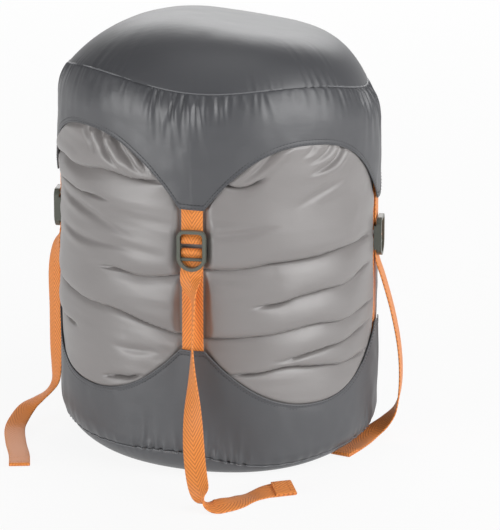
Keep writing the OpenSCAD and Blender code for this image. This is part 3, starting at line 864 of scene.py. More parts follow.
def along_line(x, z, line):
    """For each point: how far above the line it is, and its share of the line's length."""
    best = np.full(x.shape, 1e9)
    above = np.zeros(x.shape)
    share = np.zeros(x.shape)
    run = run_along(line)
    for k in range(len(line) - 1):
        step = line[k + 1] - line[k]
        size = np.linalg.norm(step)
        u = np.clip(((x - line[k, 0]) * step[0] + (z - line[k, 1]) * step[1]) / size**2, 0, 1)
        dx, dz = x - line[k, 0] - u * step[0], z - line[k, 1] - u * step[1]
        far = np.hypot(dx, dz)
        closer = far < best
        best = np.where(closer, far, best)
        above = np.where(closer, far * np.sign(step[0] * dz - step[1] * dx), above)
        share = np.where(closer, (run[k] + u * size) / run[-1], share)
    return above, share, run[-1]


def near_line(a, z, knots):
    """Which points lie near a line of (angle, height), how far above it, their share of it and its length."""
    line = smooth_path([(k[0], k[1], 0) for k in knots], 6)[:, :2]
    middle = line[:, 0].mean()
    line[:, 0] = line[:, 0] * math.radians(TUBE_R)
    x = ((a - middle + 180) % 360 - 180 + middle) * math.radians(TUBE_R)
    close = np.abs(x - middle * math.radians(TUBE_R)) < np.ptp(line[:, 0]) / 2 + REACH
    above, share, size = along_line(x[close], z[close], line)
    return close, above, share, size


first_line = np.array(FOLDS[0][0]) * [math.radians(TUBE_R), 1]
print("the first crease is %.0f mm long" % run_along(first_line)[-1])

# %% [markdown]
# A crease draws the cloth in along its line, and the cloth over it stands out and hangs down. Its depth
# varies a little, so that no two stretches look alike. The sides that don't show get folds of the same kind,
# from random numbers with a fixed seed.

# %% Pressing folds into the cloth
# a crease comes in over END_LONG at each end, or less if it is short. Its groove is GROOVE wide to each side,
# the slope under it fades over SLOPE, the lobe over it is fullest LOBE above it, and its lip fades over LIP
END_LONG = 46
GROOVE = 1.5
SLOPE = 6
LOBE = 9
LIP = 7
# half the width of a pleat at its foot, and how much wider it opens to its top
PLEAT_FOOT = 0.9
PLEAT_OPEN = 2.4


def folds_behind(rng):
    """More of the same round the sides that the camera doesn't see."""
    found = []
    for start in BACK_ANGLES:
        for z in BACK_HEIGHTS:
            turns = np.linspace(start + rng.uniform(0, 25), start + rng.uniform(50, 82), 4)
            heights = z + rng.uniform(-8, 8) + rng.uniform(-4, 4, 4)
            found.append((list(zip(turns, heights)), rng.uniform(3, 7), rng.uniform(2, 3.6)))
    return found


def add_folds(a, z, dr, dz, folds, wide):
    """Presses creases into the cloth: a lobe hangs over each one, and a slope comes out from under it.

    `wide` is 1 for a sharp crease and more for a broad fold.
    """
    waver = z + 0.8 * ripple(a, z, 40, 22, 8)
    vary = 1.15 + 0.2 * ripple(a, z, 24, 30, 9)
    for knots, depth, lip in folds:
        close, t, share, size = near_line(a, waver, knots)
        ends = np.clip(np.minimum(share, 1 - share) * size / min(END_LONG, size / 2.2), 0, 1)
        force = ease(ends) * vary[close]
        t = t / (wide * (0.35 + 0.65 * ends))
        up, down = np.maximum(t, 0), np.maximum(-t, 0)
        crease = 1.5 * bump(t, GROOVE) + 0.65 * np.exp(-up / GROOVE - down / SLOPE)
        lobe = 0.25 * up / LOBE * np.exp(1 - up / LOBE)
        dr[close] += force * depth * (lobe - crease)
        dz[close] -= force**2 * lip * np.clip(t / 1.8, 0, 1) * np.exp(-up / LIP)


def add_pleats(a, z, dr):
    """Tapered grooves that hang from the lid's edge: wide and deep at the top, closed at the foot."""
    for knots, depth in PLEATS:
        close, t, share, _ = near_line(a, z, knots)
        left = 1 - share
        wide = PLEAT_FOOT + PLEAT_OPEN * left
        dr[close] += depth * left**0.7 * (0.4 * bump(t - 2.3 * wide, 1.2 * wide) - bump(t, wide))


BEHIND = folds_behind(np.random.default_rng(7))
print(len(BEHIND), "creases on the sides that don't show")

# %% [markdown]
# The tube starts round. Slow ripples come first, then creases, slack folds and pleats, and one soft hollow at
# the right. `DR` is how far out each point goes, and `DZ` how far it moves up, so it is negative in a lip
# that hangs down. `channel` is 1 where a strap or a buckle presses the cloth flat.

# %% The tube, shaped from the listed folds
TUBE_LOW = 36
TUBE_HIGH = 250
TUBE_COLUMNS = 480
TUBE_ROWS = 200
CHANNEL = 12.3
MEAN_PUFF = 2.4
HOLLOW_ANGLE = 54
HOLLOW_WIDE = 12
HOLLOW_Z = 194
HOLLOW_UP = 7
HOLLOW_DOWN = 24
HOLLOW_DEEP = 3

columns = np.linspace(0, 360, TUBE_COLUMNS, endpoint=False)
rows = np.linspace(TUBE_LOW, TUBE_HIGH, TUBE_ROWS)
A, Z = np.meshgrid(columns, rows)
off_strap = np.abs(from_strap(A)) * math.radians(TUBE_R)
channel = np.clip((bump(off_strap, CHANNEL) - 0.12) / 0.45, 0, 1)
lid_hem = lid_edge(A) + lean(LID_OUT, A)
base_hem = base_edge(A)
patch = np.clip(0.5 + 0.9 * ripple(A, Z, 9, 55, 6), 0, 1)
DR = MEAN_PUFF + 0.8 * ripple(A, Z, 14, 46, 3) + 0.25 * ripple(A, Z, 18, 11, 4)
DR += 0.55 * patch * ripple(A, Z + 0.16 * A, 13, 5.5, 5) + 0.9 * ripple(A, Z, 8, 23, 12)
DZ = np.zeros_like(DR)
add_folds(A, Z, DR, DZ, FOLDS + BEHIND, 1)
add_folds(A, Z, DR, DZ, SLACK, 2.2)
add_pleats(A, Z, DR)
above = Z - HOLLOW_Z
hollow_tall = np.where(above > 0, bump(above, HOLLOW_UP), bump(above, HOLLOW_DOWN))
DR -= HOLLOW_DEEP * bump(A - HOLLOW_ANGLE, HOLLOW_WIDE) * hollow_tall
print("the cloth goes %.1f mm in and %.1f mm out" % (-DR.min(), DR.max()))

# %% [markdown]
# A drawn fold looks drawn. So the tube then becomes cloth for a few frames: it was cut a little longer
# than the space it is packed into, and what it holds presses it outwards. It moves by less than a
# millimetre, so the drawn folds stay. A coarse grid settles faster, and the fine one follows it.

# %% Helpers to let cloth settle


def settle(shape, cut, held, pressure, frames):
    """Lets a grid of cloth settle. `cut` is its shape before it was packed, `held` is 1 where it is sewn."""
    piece = grid_piece("settling_cloth", shape)
    piece.shape_key_add(name="packed")
    key = piece.shape_key_add(name="cut")
    key.data.foreach_set("co", (cut.reshape(-1) * MM).astype(np.float32))
    key.value = 0
    group = piece.vertex_groups.new(name="held")
    levels = np.round(held, 1).ravel()
    for level in np.unique(levels[levels > 0]):
        group.add(np.flatnonzero(levels == level).tolist(), float(level), "REPLACE")
    cloth = piece.modifiers.new("cloth", "CLOTH")
    cloth.settings.quality = 5
    cloth.settings.mass = 0.12
    cloth.settings.tension_stiffness = 15
    cloth.settings.compression_stiffness = 15
    cloth.settings.shear_stiffness = 5
    cloth.settings.bending_stiffness = 0.1
    cloth.settings.use_pressure = True
    cloth.settings.uniform_pressure_force = pressure
    cloth.settings.vertex_group_mass = "held"
    cloth.settings.effector_weights.gravity = 0
    cloth.settings.rest_shape_key = key
    cloth.collision_settings.use_collision = False
    cloth.point_cache.frame_end = frames
    for frame_number in range(1, frames + 1):
        bpy.context.scene.frame_set(frame_number)
    shaped = piece.evaluated_get(bpy.context.evaluated_depsgraph_get())
    found = np.zeros(len(piece.data.vertices) * 3, np.float32)
    shaped.data.vertices.foreach_get("co", found)
    bpy.data.objects.remove(piece)
    bpy.context.scene.frame_set(1)
    return found.reshape(shape.shape) / MM


def between_rows(coarse, every, shape):
    """Carries a coarse grid's values over to the fine grid that it was picked from, closed round the sack."""
    rows, cols = np.arange(shape[0]) / every, np.arange(shape[1]) / every
    j = np.clip(np.floor(rows).astype(int), 0, coarse.shape[0] - 2)
    i = np.floor(cols).astype(int)
    fj = np.clip(rows - j, 0, 1)[:, None, None]
    fi = (cols - i)[None, :, None]
    k = (i + 1) % coarse.shape[1]
    low = coarse[j][:, i] * (1 - fi) + coarse[j][:, k] * fi
    high = coarse[j + 1][:, i] * (1 - fi) + coarse[j + 1][:, k] * fi
    return low * (1 - fj) + high * fj


def keep_under(r, limit, soft=1.2):
    """Presses cloth back under a limit. Within `soft` of it, relief gets flatter the closer it comes."""
    return np.where(r > limit - soft, limit - soft + soft * np.tanh((r - limit + soft) / soft), r)


print("2 mm over a limit of 100 becomes %.1f" % keep_under(np.array(102.0), 100))

# %% [markdown]
# The cloth may puff out between the skirts, but it stays inside them, and inside the straps. `limit` is
# the largest radius at each point, and `seen` is 1 where the tube shows and 0 well under a skirt.

# %% The tube settles between its skirts
CUT_LONGER = 1.05
UNDER_LID = 1.8
UNDER_BASE = 1.5
PUFF = 8
HEM_GAP = 0.5
HEM_FADE = 4
STRAP_ROOM = 0.1
STRAP_HOLDS = 6

seen = np.clip(np.minimum(lid_hem + 10 - Z, Z - base_hem + 10) / 8, 0, 1)
under_lid = lid_r(Z - lean(LID_OUT, A)) - UNDER_LID
under_base = BASE_OUT - UNDER_BASE
bare = TUBE_R + PUFF
limit = np.minimum(under_lid + (bare - under_lid) * np.clip((lid_hem - HEM_GAP - Z) / HEM_FADE, 0, 1),
                   under_base + (bare - under_base) * np.clip((Z - base_hem - HEM_GAP) / HEM_FADE, 0, 1))
limit -= (limit - TUBE_R - STRAP_ROOM) * channel

# under a skirt, a fifth of the relief is left
RADIUS = keep_under(TUBE_R + DR * (0.2 + 0.8 * seen), limit)
BODY = polar(RADIUS, A, Z + DZ * seen)
uv = np.stack([A * math.radians(TUBE_R), Z], axis=-1)
EVERY = 2
MOST = 2.5
PRESSURE = 1.0
FRAMES = 10
rough = BODY[::EVERY, ::EVERY]
cut = polar(TUBE_R, A, TUBE_LOW + (Z - TUBE_LOW) * CUT_LONGER)[::EVERY, ::EVERY]
held = np.clip(1 - seen + (off_strap < STRAP_HOLDS), 0, 1)[::EVERY, ::EVERY]
moved = settle(rough, cut, held, PRESSURE, FRAMES) - rough
size = np.linalg.norm(moved, axis=-1, keepdims=True)
print("the tube settled by %.2f mm at most, half of it by less than %.2f" % (size.max(), np.median(size)))
moved *= MOST * np.tanh(size / MOST) / np.maximum(size, 1e-6)
BODY = BODY + between_rows(moved, EVERY, BODY.shape)
r = np.hypot(BODY[..., 0], BODY[..., 1])
BODY[..., :2] *= (keep_under(r, limit) / r)[..., None]
body = grid_piece("body_cloth", BODY, uv)
dress(body, GREY_NYLON, "grey_nylon", "body_tube")
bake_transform(body)
print("the tube has", len(body.data.vertices), "points")

# %% [markdown]
# ## Lid
#
# A dome of cloth is sewn to a skirt with four tabs. The skirt is a little too long for the seam, so it
# is gathered there: short creases run out of the stitching and fade. Most of them sit where a strap
# pulls. Each crease here is its own small groove, with a width, a length and a slant of its own.

# %% Creases out of a seam


def gathers(x, away, where, rng):
    """Depth of gathered cloth at x along a seam and so far away from it, all in millimetres.

    `where` lists stretches of the seam: first x, last x, spacing, depth and length of the creases there.
    """
    depth = np.zeros(np.broadcast(x, away).shape)
    for first, last, spacing, deep, long in where:
        at = first
        while at < last:
            wide = spacing * rng.uniform(0.26, 0.42)
            reach = long * rng.uniform(0.45, 1.25)
            slant = rng.uniform(-0.22, 0.22)
            u = (x - at - slant * away) / (wide * (1 + away / 45))
            groove = np.exp(-u * u) - 0.55 * np.exp(-((np.abs(u) - 1.7) / 0.75) ** 2)
            depth += deep * rng.uniform(0.5, 1.15) * groove * np.exp(-((away / reach) ** 1.3))
            at += spacing * rng.uniform(0.6, 1.5)
    return depth


def round_seam(radius, every):
    """The same stretches beside all four straps, with their angles turned to millimetres along a seam."""
    mm = math.radians(radius)
    return [((middle + first) * mm, (middle + last) * mm, *sizes)
            for middle in STRAPS.values() for first, last, *sizes in every]


def wrapped(a, radius, where, away, rng_seed):
    """Gathers on a closed seam, worked out on both sides of the place where angles start again."""
    total = 0
    for shift in (-360, 0, 360):
        x = (a + shift) * math.radians(radius)
        total = total + gathers(x, away, where, np.random.default_rng(rng_seed))
    return total


print("a stretch given for one strap makes", len(round_seam(LID_OUT, [(0, 9, 5, 1, 9)])), "round the sack")

# %% [markdown]
# ### Skirt
#
# The skirt is a band between two curves: its cut edge below and the seam above. Rows lie closer together
# near the seam, where the gathers are fine. A soft crest runs down to each tab, where the strap pulls.

# %% Lid seam and skirt
# degrees from a strap at both ends of a stretch, then spacing, depth and length of its creases
LID_SKIRT_GATHERS = [(-30, -16, 5, 0.6, 12), (-16, 6, 4.6, 1.7, 22),
                     (6, 28, 5, 1.1, 11), (36, 56, 7, 0.4, 15)]
SKIRT_COLUMNS = 900
SEAM_WIDE = 1.2
LID_RIDGE_OUT = 0.9
LID_RIDGE_DOWN = 0.2

columns = np.linspace(0, 360, SKIRT_COLUMNS, endpoint=False)
rows = np.concatenate([np.linspace(0, 0.6, 30)[:-1], np.linspace(0.6, 1, 44)])
A, T = np.meshgrid(columns, rows)
LOW = lid_edge(A)
HIGH = seam_z(A)
Z = LOW + (HIGH - LOW) * T
below = HIGH - Z
R = lid_r(LOW + (LID_SEAM_Z - LOW) * T)
x_off = from_strap(A) * math.radians(LID_OUT)
crest = np.exp(-np.abs(x_off) / (6 + 0.12 * below)) * np.clip(below / 8, 0, 1) * np.exp(-below / 55)
where = round_seam(LID_OUT, LID_SKIRT_GATHERS)
gathered = wrapped(A, LID_OUT, where, below, 31) * np.clip(below / 2.5, 0, 1)
# loose cloth sinks in between the tabs, a crest stands over each tab, and the cloth dives into the seam
R = R - 0.8 * (1 - tab_share(A, TAB_FADE)) + 2.2 * crest - gathered - 0.8 * np.exp(-below / SEAM_WIDE)
# ripples: slow ones, which start at the cut edge, and two finer kinds
R += 0.9 * ripple(A, Z, 18, 60, 33) * np.clip(T * 3, 0, 1) + 0.25 * ripple(A, Z, 70, 18, 34)
R += 0.18 * ripple(A, Z - 0.25 * A, 90, 9, 35)
# the cut edge is drawn in between the tabs
R -= 0.9 * np.exp(-(Z - LOW) / 5) * (1 - tab_share(A, TAB_FADE))
uv = np.stack([A * math.radians(LID_OUT), Z], axis=-1)
skirt = grid_piece("lid_skirt_cloth", polar(R, A, Z + lean(R, A)), uv)
dress(skirt, DARK_NYLON, "dark_nylon", "lid_skirt")
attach(skirt, "lid")
skirt_edge_r = R[0]
seam_line = polar(R[-1] + LID_RIDGE_OUT, columns, seam_z(columns) + lean(R[-1], columns) - LID_RIDGE_DOWN)
print("gathers on the lid's skirt are up to %.1f mm deep" % gathered.max())

# %% [markdown]
# ### Dome
#
# The round panel on top bulges, because the load pushes it up. A power of the radius gives a dome that is
# flat in the middle and steep at the seam. The photo shows it fuller on one side, so the power goes up and
# down round the sack, and the top tilts.

# %% Lid panel
LID_PANEL_GATHERS = [(-45, -30, 6, 0.5, 13), (-12, 10, 6, 0.15, 5), (22, 34, 5, 0.25, 7)]
DOME_POWER = 4.2
DOME_SIDE = 2.0
DOME_TILT = 12
shares = np.concatenate([np.linspace(1, 0.86, 30)[:-1], np.linspace(0.86, 0, 60)])
A, S = np.meshgrid(columns, shares)
inside = (1 - S) * SEAM_R
R = S * SEAM_R
side = np.sin(np.radians(A))
Z = LID_SEAM_Z + LID_DOME * (1 - S ** (DOME_POWER + DOME_SIDE * side)) - DOME_TILT * side * S * (1 - S**3)
Z += SEAM_BOW * np.sin(np.radians(2 * A)) ** 2 * S**4 + lean(R, A)
where = round_seam(SEAM_R, LID_PANEL_GATHERS)
Z -= wrapped(A, SEAM_R, where, inside, 41) + 0.7 * np.exp(-inside / SEAM_WIDE)
X_MM, Y_MM = R * side, R * np.cos(np.radians(A))
# here the ripples lie flat on the panel and fade out at the seam
for high, cells, height, seed in ((0.6, 9, 52, 43), (0.12, 34, 13, 44)):
    Z += high * ripple(X_MM * 0.9 + 180, Y_MM + 200, cells, height, seed) * (1 - S**8)
uv = np.stack([X_MM, Y_MM], axis=-1)
panel = grid_piece("lid_panel_cloth", polar(R, A, Z), uv)
dress(panel, DARK_NYLON, "dark_nylon", "lid_panel")
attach(panel, "lid")
print("the dome's top is %.1f mm up" % Z.max())

# %% [markdown]
# ## Base
#
# The base is a round panel sewn to a skirt like the lid's, upside down. The load stands on it, so its lower
# edge is rounded. The seam runs along that rounding, and the front strap pulls it up a little. One function
# gives the rounding, and both pieces use it, so they meet in the seam at every angle.

# %% The rounded lower edge


def hill_at(a, middle, width):
    """A soft hill round the sack: 1 at its middle, so many degrees to each side."""
    return bump((np.asarray(a, float) - middle + 180) % 360 - 180, width)


def round_at(a):
    """Radius of the rounded lower edge: slack at the left, drawn tight at the right of the front strap."""
    return BASE_ROUND + 10 * hill_at(a, -70, 40) - 10 * hill_at(a, 28, 32)


def seam_turn(a):
    """How many degrees up the rounding the base seam runs: most at the front strap, which pulls it up."""
    return BASE_SEAM_TURN + 26 * hill_at(a, 0, 22) + 10 * hill_at(a, -30, 25)


def foot(a, turn):
    """Radius and height of the rounded edge, so many degrees up from the floor."""
    t = np.radians(turn)
    r = round_at(a)
    return BASE_OUT - r + r * np.sin(t), r - r * np.cos(t)


print("the lower edge's radius is %.0f to %.0f mm" % (round_at(columns).min(), round_at(columns).max()))

# %% [markdown]
# ### Skirt of the base
#
# From the seam, the skirt follows the rest of the rounding and then goes straight up to its cut edge. `T`
# runs from 0 at the seam to 1 at that edge, and the rounding takes the first part of it.

# %% Base skirt
BASE_SKIRT_GATHERS = [(-21, -3, 5.5, 1.9, 10), (4, 21, 5.5, 1.9, 12), (28, 60, 9, 0.6, 9)]
TURN_SHARE = 0.4
BASE_RIDGE_OUT = 0.6
BASE_RIDGE_DOWN = 0.3

A, T = np.meshgrid(columns, np.linspace(0, 1, 76))
turn_at = seam_turn(A) + (90 - seam_turn(A)) * np.clip(T / TURN_SHARE, 0, 1)
R, Z = foot(A, turn_at)
EDGE_Z = base_edge(A)
wall = np.clip((T - TURN_SHARE) / (1 - TURN_SHARE), 0, 1)
Z = Z + (EDGE_Z - round_at(A)) * wall
above = np.radians(turn_at - seam_turn(A)) * round_at(A) + (EDGE_Z - round_at(A)) * wall
x_off = from_strap(A) * math.radians(BASE_OUT)
crest = np.exp(-np.abs(x_off) / 8) * bump(above - 62, 34)
where = round_seam(BASE_OUT, BASE_SKIRT_GATHERS)
# crests over the tabs, gathers out of the seam, and ripples, as on the lid
R = R + 1.6 * crest - wrapped(A, BASE_OUT, where, above, 51) - 1.3 * np.exp(-above / SEAM_WIDE)
R += 0.9 * ripple(A, Z, 16, 50, 53) * bump(above - 45, 45) + 0.25 * ripple(A, Z, 70, 18, 54)
R += 0.15 * ripple(A, Z + 0.3 * A, 90, 9, 55)
R -= 0.8 * np.exp(-(EDGE_Z - Z) / 5) * (1 - tab_share(A, TAB_FADE)) * (wall > 0)
uv = np.stack([A * math.radians(BASE_OUT), Z], axis=-1)
base_skirt = grid_piece("base_skirt_cloth", polar(R, A, Z), uv)
dress(base_skirt, DARK_NYLON, "dark_nylon", "base_skirt")
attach(base_skirt, "base")
base_edge_r = R[-1]
base_seam_line = polar(R[0] + BASE_RIDGE_OUT, columns, Z[0] - BASE_RIDGE_DOWN)
print("the base seam is %.1f to %.1f mm up" % (Z[0].min(), Z[0].max()))

# %% [markdown]
# ### Bottom panel
#
# The panel is the last stretch of the rounding and then a flat disc. Its columns are taken in reverse order,
# so that its faces look down.

# %% Base panel
BASE_PANEL_GATHERS = [(3, 20, 5, 0.3, 6), (-30, -8, 6, 0.3, 6)]
A, T = np.meshgrid(columns, np.linspace(1, 0, 30))
TURN = seam_turn(A) * T
R, Z = foot(A, TURN)
below = np.radians(seam_turn(A) - TURN) * round_at(A)
where = round_seam(BASE_OUT, BASE_PANEL_GATHERS)
R = R - wrapped(A, BASE_OUT, where, below, 51) - 1.0 * np.exp(-below / SEAM_WIDE)
A_FLAT, R_SHARE = np.meshgrid(columns, np.linspace(1, 0, 16)[1:])
R_FLAT = R_SHARE * (BASE_OUT - round_at(A_FLAT))
grid = np.concatenate([polar(R, A, np.maximum(Z, 0)), polar(R_FLAT, A_FLAT, np.zeros_like(R_FLAT))])
base_panel = grid_piece("base_panel_cloth", grid[:, ::-1], grid[:, ::-1, :2])
dress(base_panel, DARK_NYLON, "dark_nylon", "base_panel")
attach(base_panel, "base")
print("the flat of the base is %.0f mm across at the front" % (2 * (BASE_OUT - round_at(0))))

# %% [markdown]
# ## Bound edges, seams and stitches
#
# A cut edge of nylon frays, so it is folded over and sewn down twice. That leaves a band about 4 mm wide that
# stands a little proud of the cloth. A bevel on the skirt itself would need very fine faces, so the band is a
# thin piece of its own on the same line.

# %% Bound edges
# the band's section: the way from the edge into the skirt, and the way out from the cloth
EDGE_SECTION = [(-0.4, -0.5), (-0.5, 0.0), (-0.3, 0.24), (0.3, 0.32), (2.7, 0.28), (3.2, 0.12), (3.4, -0.2)]


def edge_band(name, r, a, z, up, body, node):
    """The folded edge of a skirt, on its outside. `up` is the way from the edge into the skirt."""
    grid = np.stack([polar(r + out, a, z + up * h) for h, out in EDGE_SECTION])
    run = run_along(grid[0])
    uv = np.stack(np.broadcast_arrays(run[None, :], np.arange(len(EDGE_SECTION))[:, None]), axis=-1)
    piece = grid_piece(name, grid if up > 0 else grid[::-1], uv)
    dress(piece, BINDING, "binding_tape", node)
    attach(piece, body)


lid_line_z = lid_edge(columns) + lean(skirt_edge_r, columns)
edge_band("lid_bound_edge", skirt_edge_r, columns, lid_line_z, 1, "lid", "lid_binding")
base_line_z = base_edge(columns)
edge_band("base_bound_edge", base_edge_r, columns, base_line_z, -1, "base", "base_binding")
print("the lid's bound edge runs from %.0f to %.0f mm up" % (lid_line_z.min(), lid_line_z.max()))

# %% [markdown]
# Where panel and skirt are sewn together, both edges turn inwards and a thin ridge stays outside. It is a
# slim tube along the seam, thick enough to hide the line where the two grids meet.

# %% Seam ridges
LID_RIDGE = 0.55
BASE_RIDGE = 0.5


def seam_ridge(name, line, thick, material, slot, body):
    """The turned-in edge of the cloth, a thin round ridge along a closed seam."""
    turns = np.radians(np.arange(0, 360, 45))
    out = unit(line * [1, 1, 0])
    rings = [line + thick * (np.cos(t) * out + np.sin(t) * np.array([0, 0, 1.0])) for t in turns]
    grid = np.stack(rings, axis=1)
    grid = np.concatenate([grid, grid[:1]])
    run = run_along(grid[:, 0])
    uv = np.stack(np.broadcast_arrays(run[:, None], np.arange(len(turns))[None, :] * 0.4), axis=-1)
    piece = grid_piece(name, grid, uv)
    dress(piece, material, slot)
    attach(piece, body)
    print("%s: %.0f mm long and %.1f mm thick" % (name, run[-1], 2 * thick))


# both seam ridges get the paler nylon, whose pale colour is a painted highlight
seam_ridge("lid_seam_ridge", seam_line, LID_RIDGE, SEAM_EDGE_PAINTED_HIGHLIGHT, "dark_nylon", "lid")
seam_ridge("base_seam_ridge", base_seam_line, BASE_RIDGE, SEAM_EDGE_PAINTED_HIGHLIGHT, "dark_nylon", "base")

# %% [markdown]
# The folded edges are sewn down in two rows, one close to the edge and one along the band's other side.

# %% Stitches on the bound edges
THREAD_OUT = 0.3
ROWS_IN = {"edge": 0.9, "inner": 3.3}

outward = polar(1, columns, 0 * columns)
for row, depth in ROWS_IN.items():
    line = polar(skirt_edge_r + THREAD_OUT, columns, lid_line_z + depth)
    lid_row = stitches("lid_stitches_" + row, line, outward, EDGE_STITCH, THREAD)
    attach(lid_row, "lid")
    line = polar(base_edge_r + THREAD_OUT, columns, base_line_z - depth)
    base_row = stitches("base_stitches_" + row, line, outward, EDGE_STITCH, THREAD)
    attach(base_row, "base")
    counts = [len(piece.data.polygons) // len(STITCH_FACES) for piece in (lid_row, base_row)]
    print("the %s row has %d stitches on the lid and %d on the base" % (row, *counts))

# %% [markdown]
# ## Under the lid: gathered collar, hem, drawcord and cord lock
#
# The sack is filled through a mouth that a drawcord gathers. Cloth that is drawn to a small circle has to go
# somewhere, and it goes into radial pleats. `pleats` makes them of uneven width. None of it shows while the
# lid is down, so the pleats are simple. The cord and the lock are the frame's own solids.

# %% Collar, hem and drawcord


def pleats(a, pitch_mm, radius, seed):
    """Gathers of uneven width along a seam, from 0 in a groove to 1 on a crest."""
    count = int(2 * math.pi * radius / pitch_mm)
    shift = 1.3 * ripple(a, 0, count // 5, NOISE_TALL, seed)
    shift = shift + 0.5 * ripple(a, 0, count // 2, NOISE_TALL, seed + 1)
    wave = 0.5 + 0.5 * np.sin(np.radians(a) * count + 2 * math.pi * shift)
    return wave ** 0.8


MOUTH_R = 42
MOUTH_Z = 262
HEM_R = 3.5
HEM_OPEN = 17
COLLAR_IN = 4
COLLAR_LOW = top_of("body_tube", 2)
A, T = np.meshgrid(columns, np.linspace(0, 90, 40))
c, s = np.cos(np.radians(T)), np.sin(np.radians(T))
R = MOUTH_R + HEM_R + (TUBE_R - COLLAR_IN - MOUTH_R - HEM_R) * c
Z = COLLAR_LOW + (MOUTH_Z - COLLAR_LOW) * s - 1.6 * s * pleats(A, 6, MOUTH_R, 61)
uv = np.stack([R * np.sin(np.radians(A)), R * np.cos(np.radians(A))], axis=-1)
collar = grid_piece("collar_cloth", polar(R, A, Z), uv)
dress(collar, GREY_NYLON, "grey_nylon", "collar")
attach(collar, "mouth")

along_hem = np.linspace(HEM_OPEN, 360 - HEM_OPEN, 300)
A, T = np.meshgrid(along_hem, np.linspace(0, 360, 20, endpoint=False))
swell = 3.3 + 0.25 * pleats(A, 4, MOUTH_R, 62)
c, s = np.cos(np.radians(T)), np.sin(np.radians(T))
hem_grid = polar(MOUTH_R + swell * c, A, MOUTH_Z - 0.5 + swell * s)
uv = np.stack([A * math.radians(MOUTH_R), T * 0.06], axis=-1)
hem = grid_piece("hem_cloth", np.transpose(hem_grid, (1, 0, 2)), np.transpose(uv, (1, 0, 2)))
dress(hem, GREY_NYLON, "grey_nylon", "mouth_hem")
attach(hem, "mouth")

dress(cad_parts["drawcord"], CORD, "cord")
for node in ("lock_barrel", "lock_button"):
    dress(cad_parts[node], LOCK_PLASTIC, "lock_plastic")
print("the mouth is gathered to %.0f mm across" % (2 * MOUTH_R))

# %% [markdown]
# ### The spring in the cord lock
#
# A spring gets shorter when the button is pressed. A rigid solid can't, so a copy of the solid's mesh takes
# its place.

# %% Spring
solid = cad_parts["lock_spring"]
spring = bpy.data.objects.new("lock_spring_wire", solid.data.copy())
bpy.context.scene.collection.objects.link(spring)
spring.matrix_world = solid.matrix_world.copy()
dress(spring, SPRING_STEEL, "spring_steel", "lock_spring")
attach(spring, "mouth")
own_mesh(spring)

# %% [markdown]
# ## Floor and light
#
# The sack stands on white paper. Here, paper that is only lit stays grey until the cloth is too bright, so
# the paper is mostly its own white, for the camera and for rays off shiny things. The rest of it is matt
# and keeps the shadow.

# %% White paper
# the floor's width is in metres
FLOOR_WIDE = 30
FLOOR_LOW = 0.4
OWN_WHITE = 0.9


def seen_directly(tree):
    """1 for rays from the camera, and for those that a shiny or clear thing sends on."""
    path = add(tree, "ShaderNodeLightPath").outputs
    shiny = add(tree, "ShaderNodeMath", {"operation": "MAXIMUM"},
                i0=path["Is Glossy Ray"], i1=path["Is Transmission Ray"])
    both = add(tree, "ShaderNodeMath", {"operation": "MAXIMUM"},
               i0=path["Is Camera Ray"], i1=shiny.outputs["Value"])
    return both.outputs["Value"]


def white_paper(name, base, own_white):
    """Matt paper that the camera and shiny things see as nearly white, with the object's shadow on it."""
    material, tree, shader = new_material(name)
    fill(tree, shader, Base_Color=colour(base), Roughness=1.0, Specular_IOR_Level=0.0)
    white = add(tree, "ShaderNodeEmission", Color=colour("#ffffff"), Strength=1.0)
    seen_share = add(tree, "ShaderNodeMath", {"operation": "MULTIPLY"}, i0=seen_directly(tree), i1=own_white)
    mix = add(tree, "ShaderNodeMixShader", i0=seen_share.outputs["Value"],
              i1=shader.outputs["BSDF"], i2=white.outputs["Emission"])
    fill(tree, tree.nodes["Material Output"], Surface=mix.outputs["Shader"])
    return material


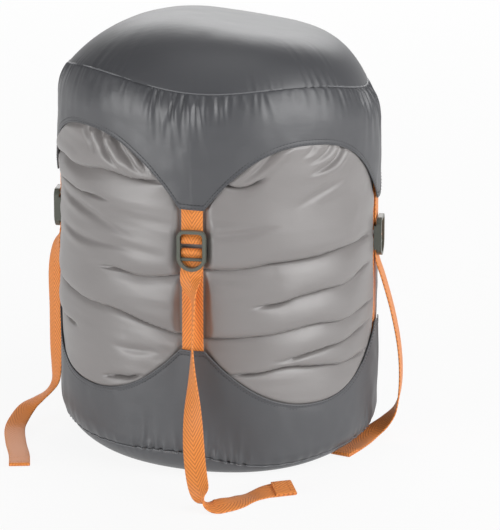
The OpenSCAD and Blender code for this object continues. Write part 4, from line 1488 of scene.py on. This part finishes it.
def pale_floor():
    """A wide sheet, low enough that it doesn't cut into the base."""
    bpy.ops.mesh.primitive_plane_add(size=FLOOR_WIDE, location=(0, 0, -FLOOR_LOW * MM))
    floor = bpy.context.object
    floor.name = "floor"
    # bright and without shine: neither an edge nor a lamp shows on it
    floor.data.materials.append(white_paper("matt_white_paper", "#f4f4f4", OWN_WHITE))
    return floor


pale_floor()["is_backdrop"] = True
print("the floor is %d m wide and %.1f mm under the base" % (FLOOR_WIDE, FLOOR_LOW))

# %% [markdown]
# Satin cloth shows its lamps. A large lamp behind gives the lid its bright back, one at each side lights the
# tube so that the folds have depth, and a weak one overhead keeps the top from going flat. Small lamps would
# leave small, hard highlights that make cloth look wet.

# %% World and lamps


def studio_world(strength):
    """An even, dim room. The camera looks down, so it sees only the paper."""
    world = bpy.data.worlds.new("studio")
    bpy.context.scene.world = world
    world.use_nodes = True
    fill(world.node_tree, world.node_tree.nodes["Background"], Color=colour("#ffffff"), Strength=strength)


def lamp(name, place, aim, wide, tall, power):
    """A flat lamp that faces a point. Places and sizes are in metres, its power in watts."""
    light = bpy.data.lights.new(name, "AREA")
    light.shape = "RECTANGLE"
    light.size = wide
    light.size_y = tall
    light.energy = power
    thing = bpy.data.objects.new(name, light)
    bpy.context.scene.collection.objects.link(thing)
    thing.location = place
    thing.rotation_euler = (Vector(aim) - Vector(place)).to_track_quat("-Z", "Y").to_euler()


studio_world(strength=0.13)
lamp("behind", place=(-0.2, 2.2, 1.3), aim=(0, 0, 0.2), wide=1.9, tall=1.5, power=30)
lamp("overhead", place=(0.1, -0.2, 1.9), aim=(0, 0, 0.2), wide=1.2, tall=1.0, power=4)
lamp("right", place=(2.1, -0.8, 0.9), aim=(0, 0, 0.2), wide=1.8, tall=1.5, power=46)
lamp("left", place=(-1.7, -1.8, 0.45), aim=(0, 0, 0.12), wide=1.8, tall=1.2, power=40)
bpy.context.scene.view_settings.view_transform = "Standard"
print(len(bpy.data.lights), "lamps")

# %% The scene's box beside the frame's
boxes = {"cad": [list(v) for v in cad_box], "visual": [list(v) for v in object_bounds()]}
off = np.array(boxes["visual"]) - np.array(boxes["cad"])
print("the scene's box is", off.round(4).tolist(), "m off the frame's")
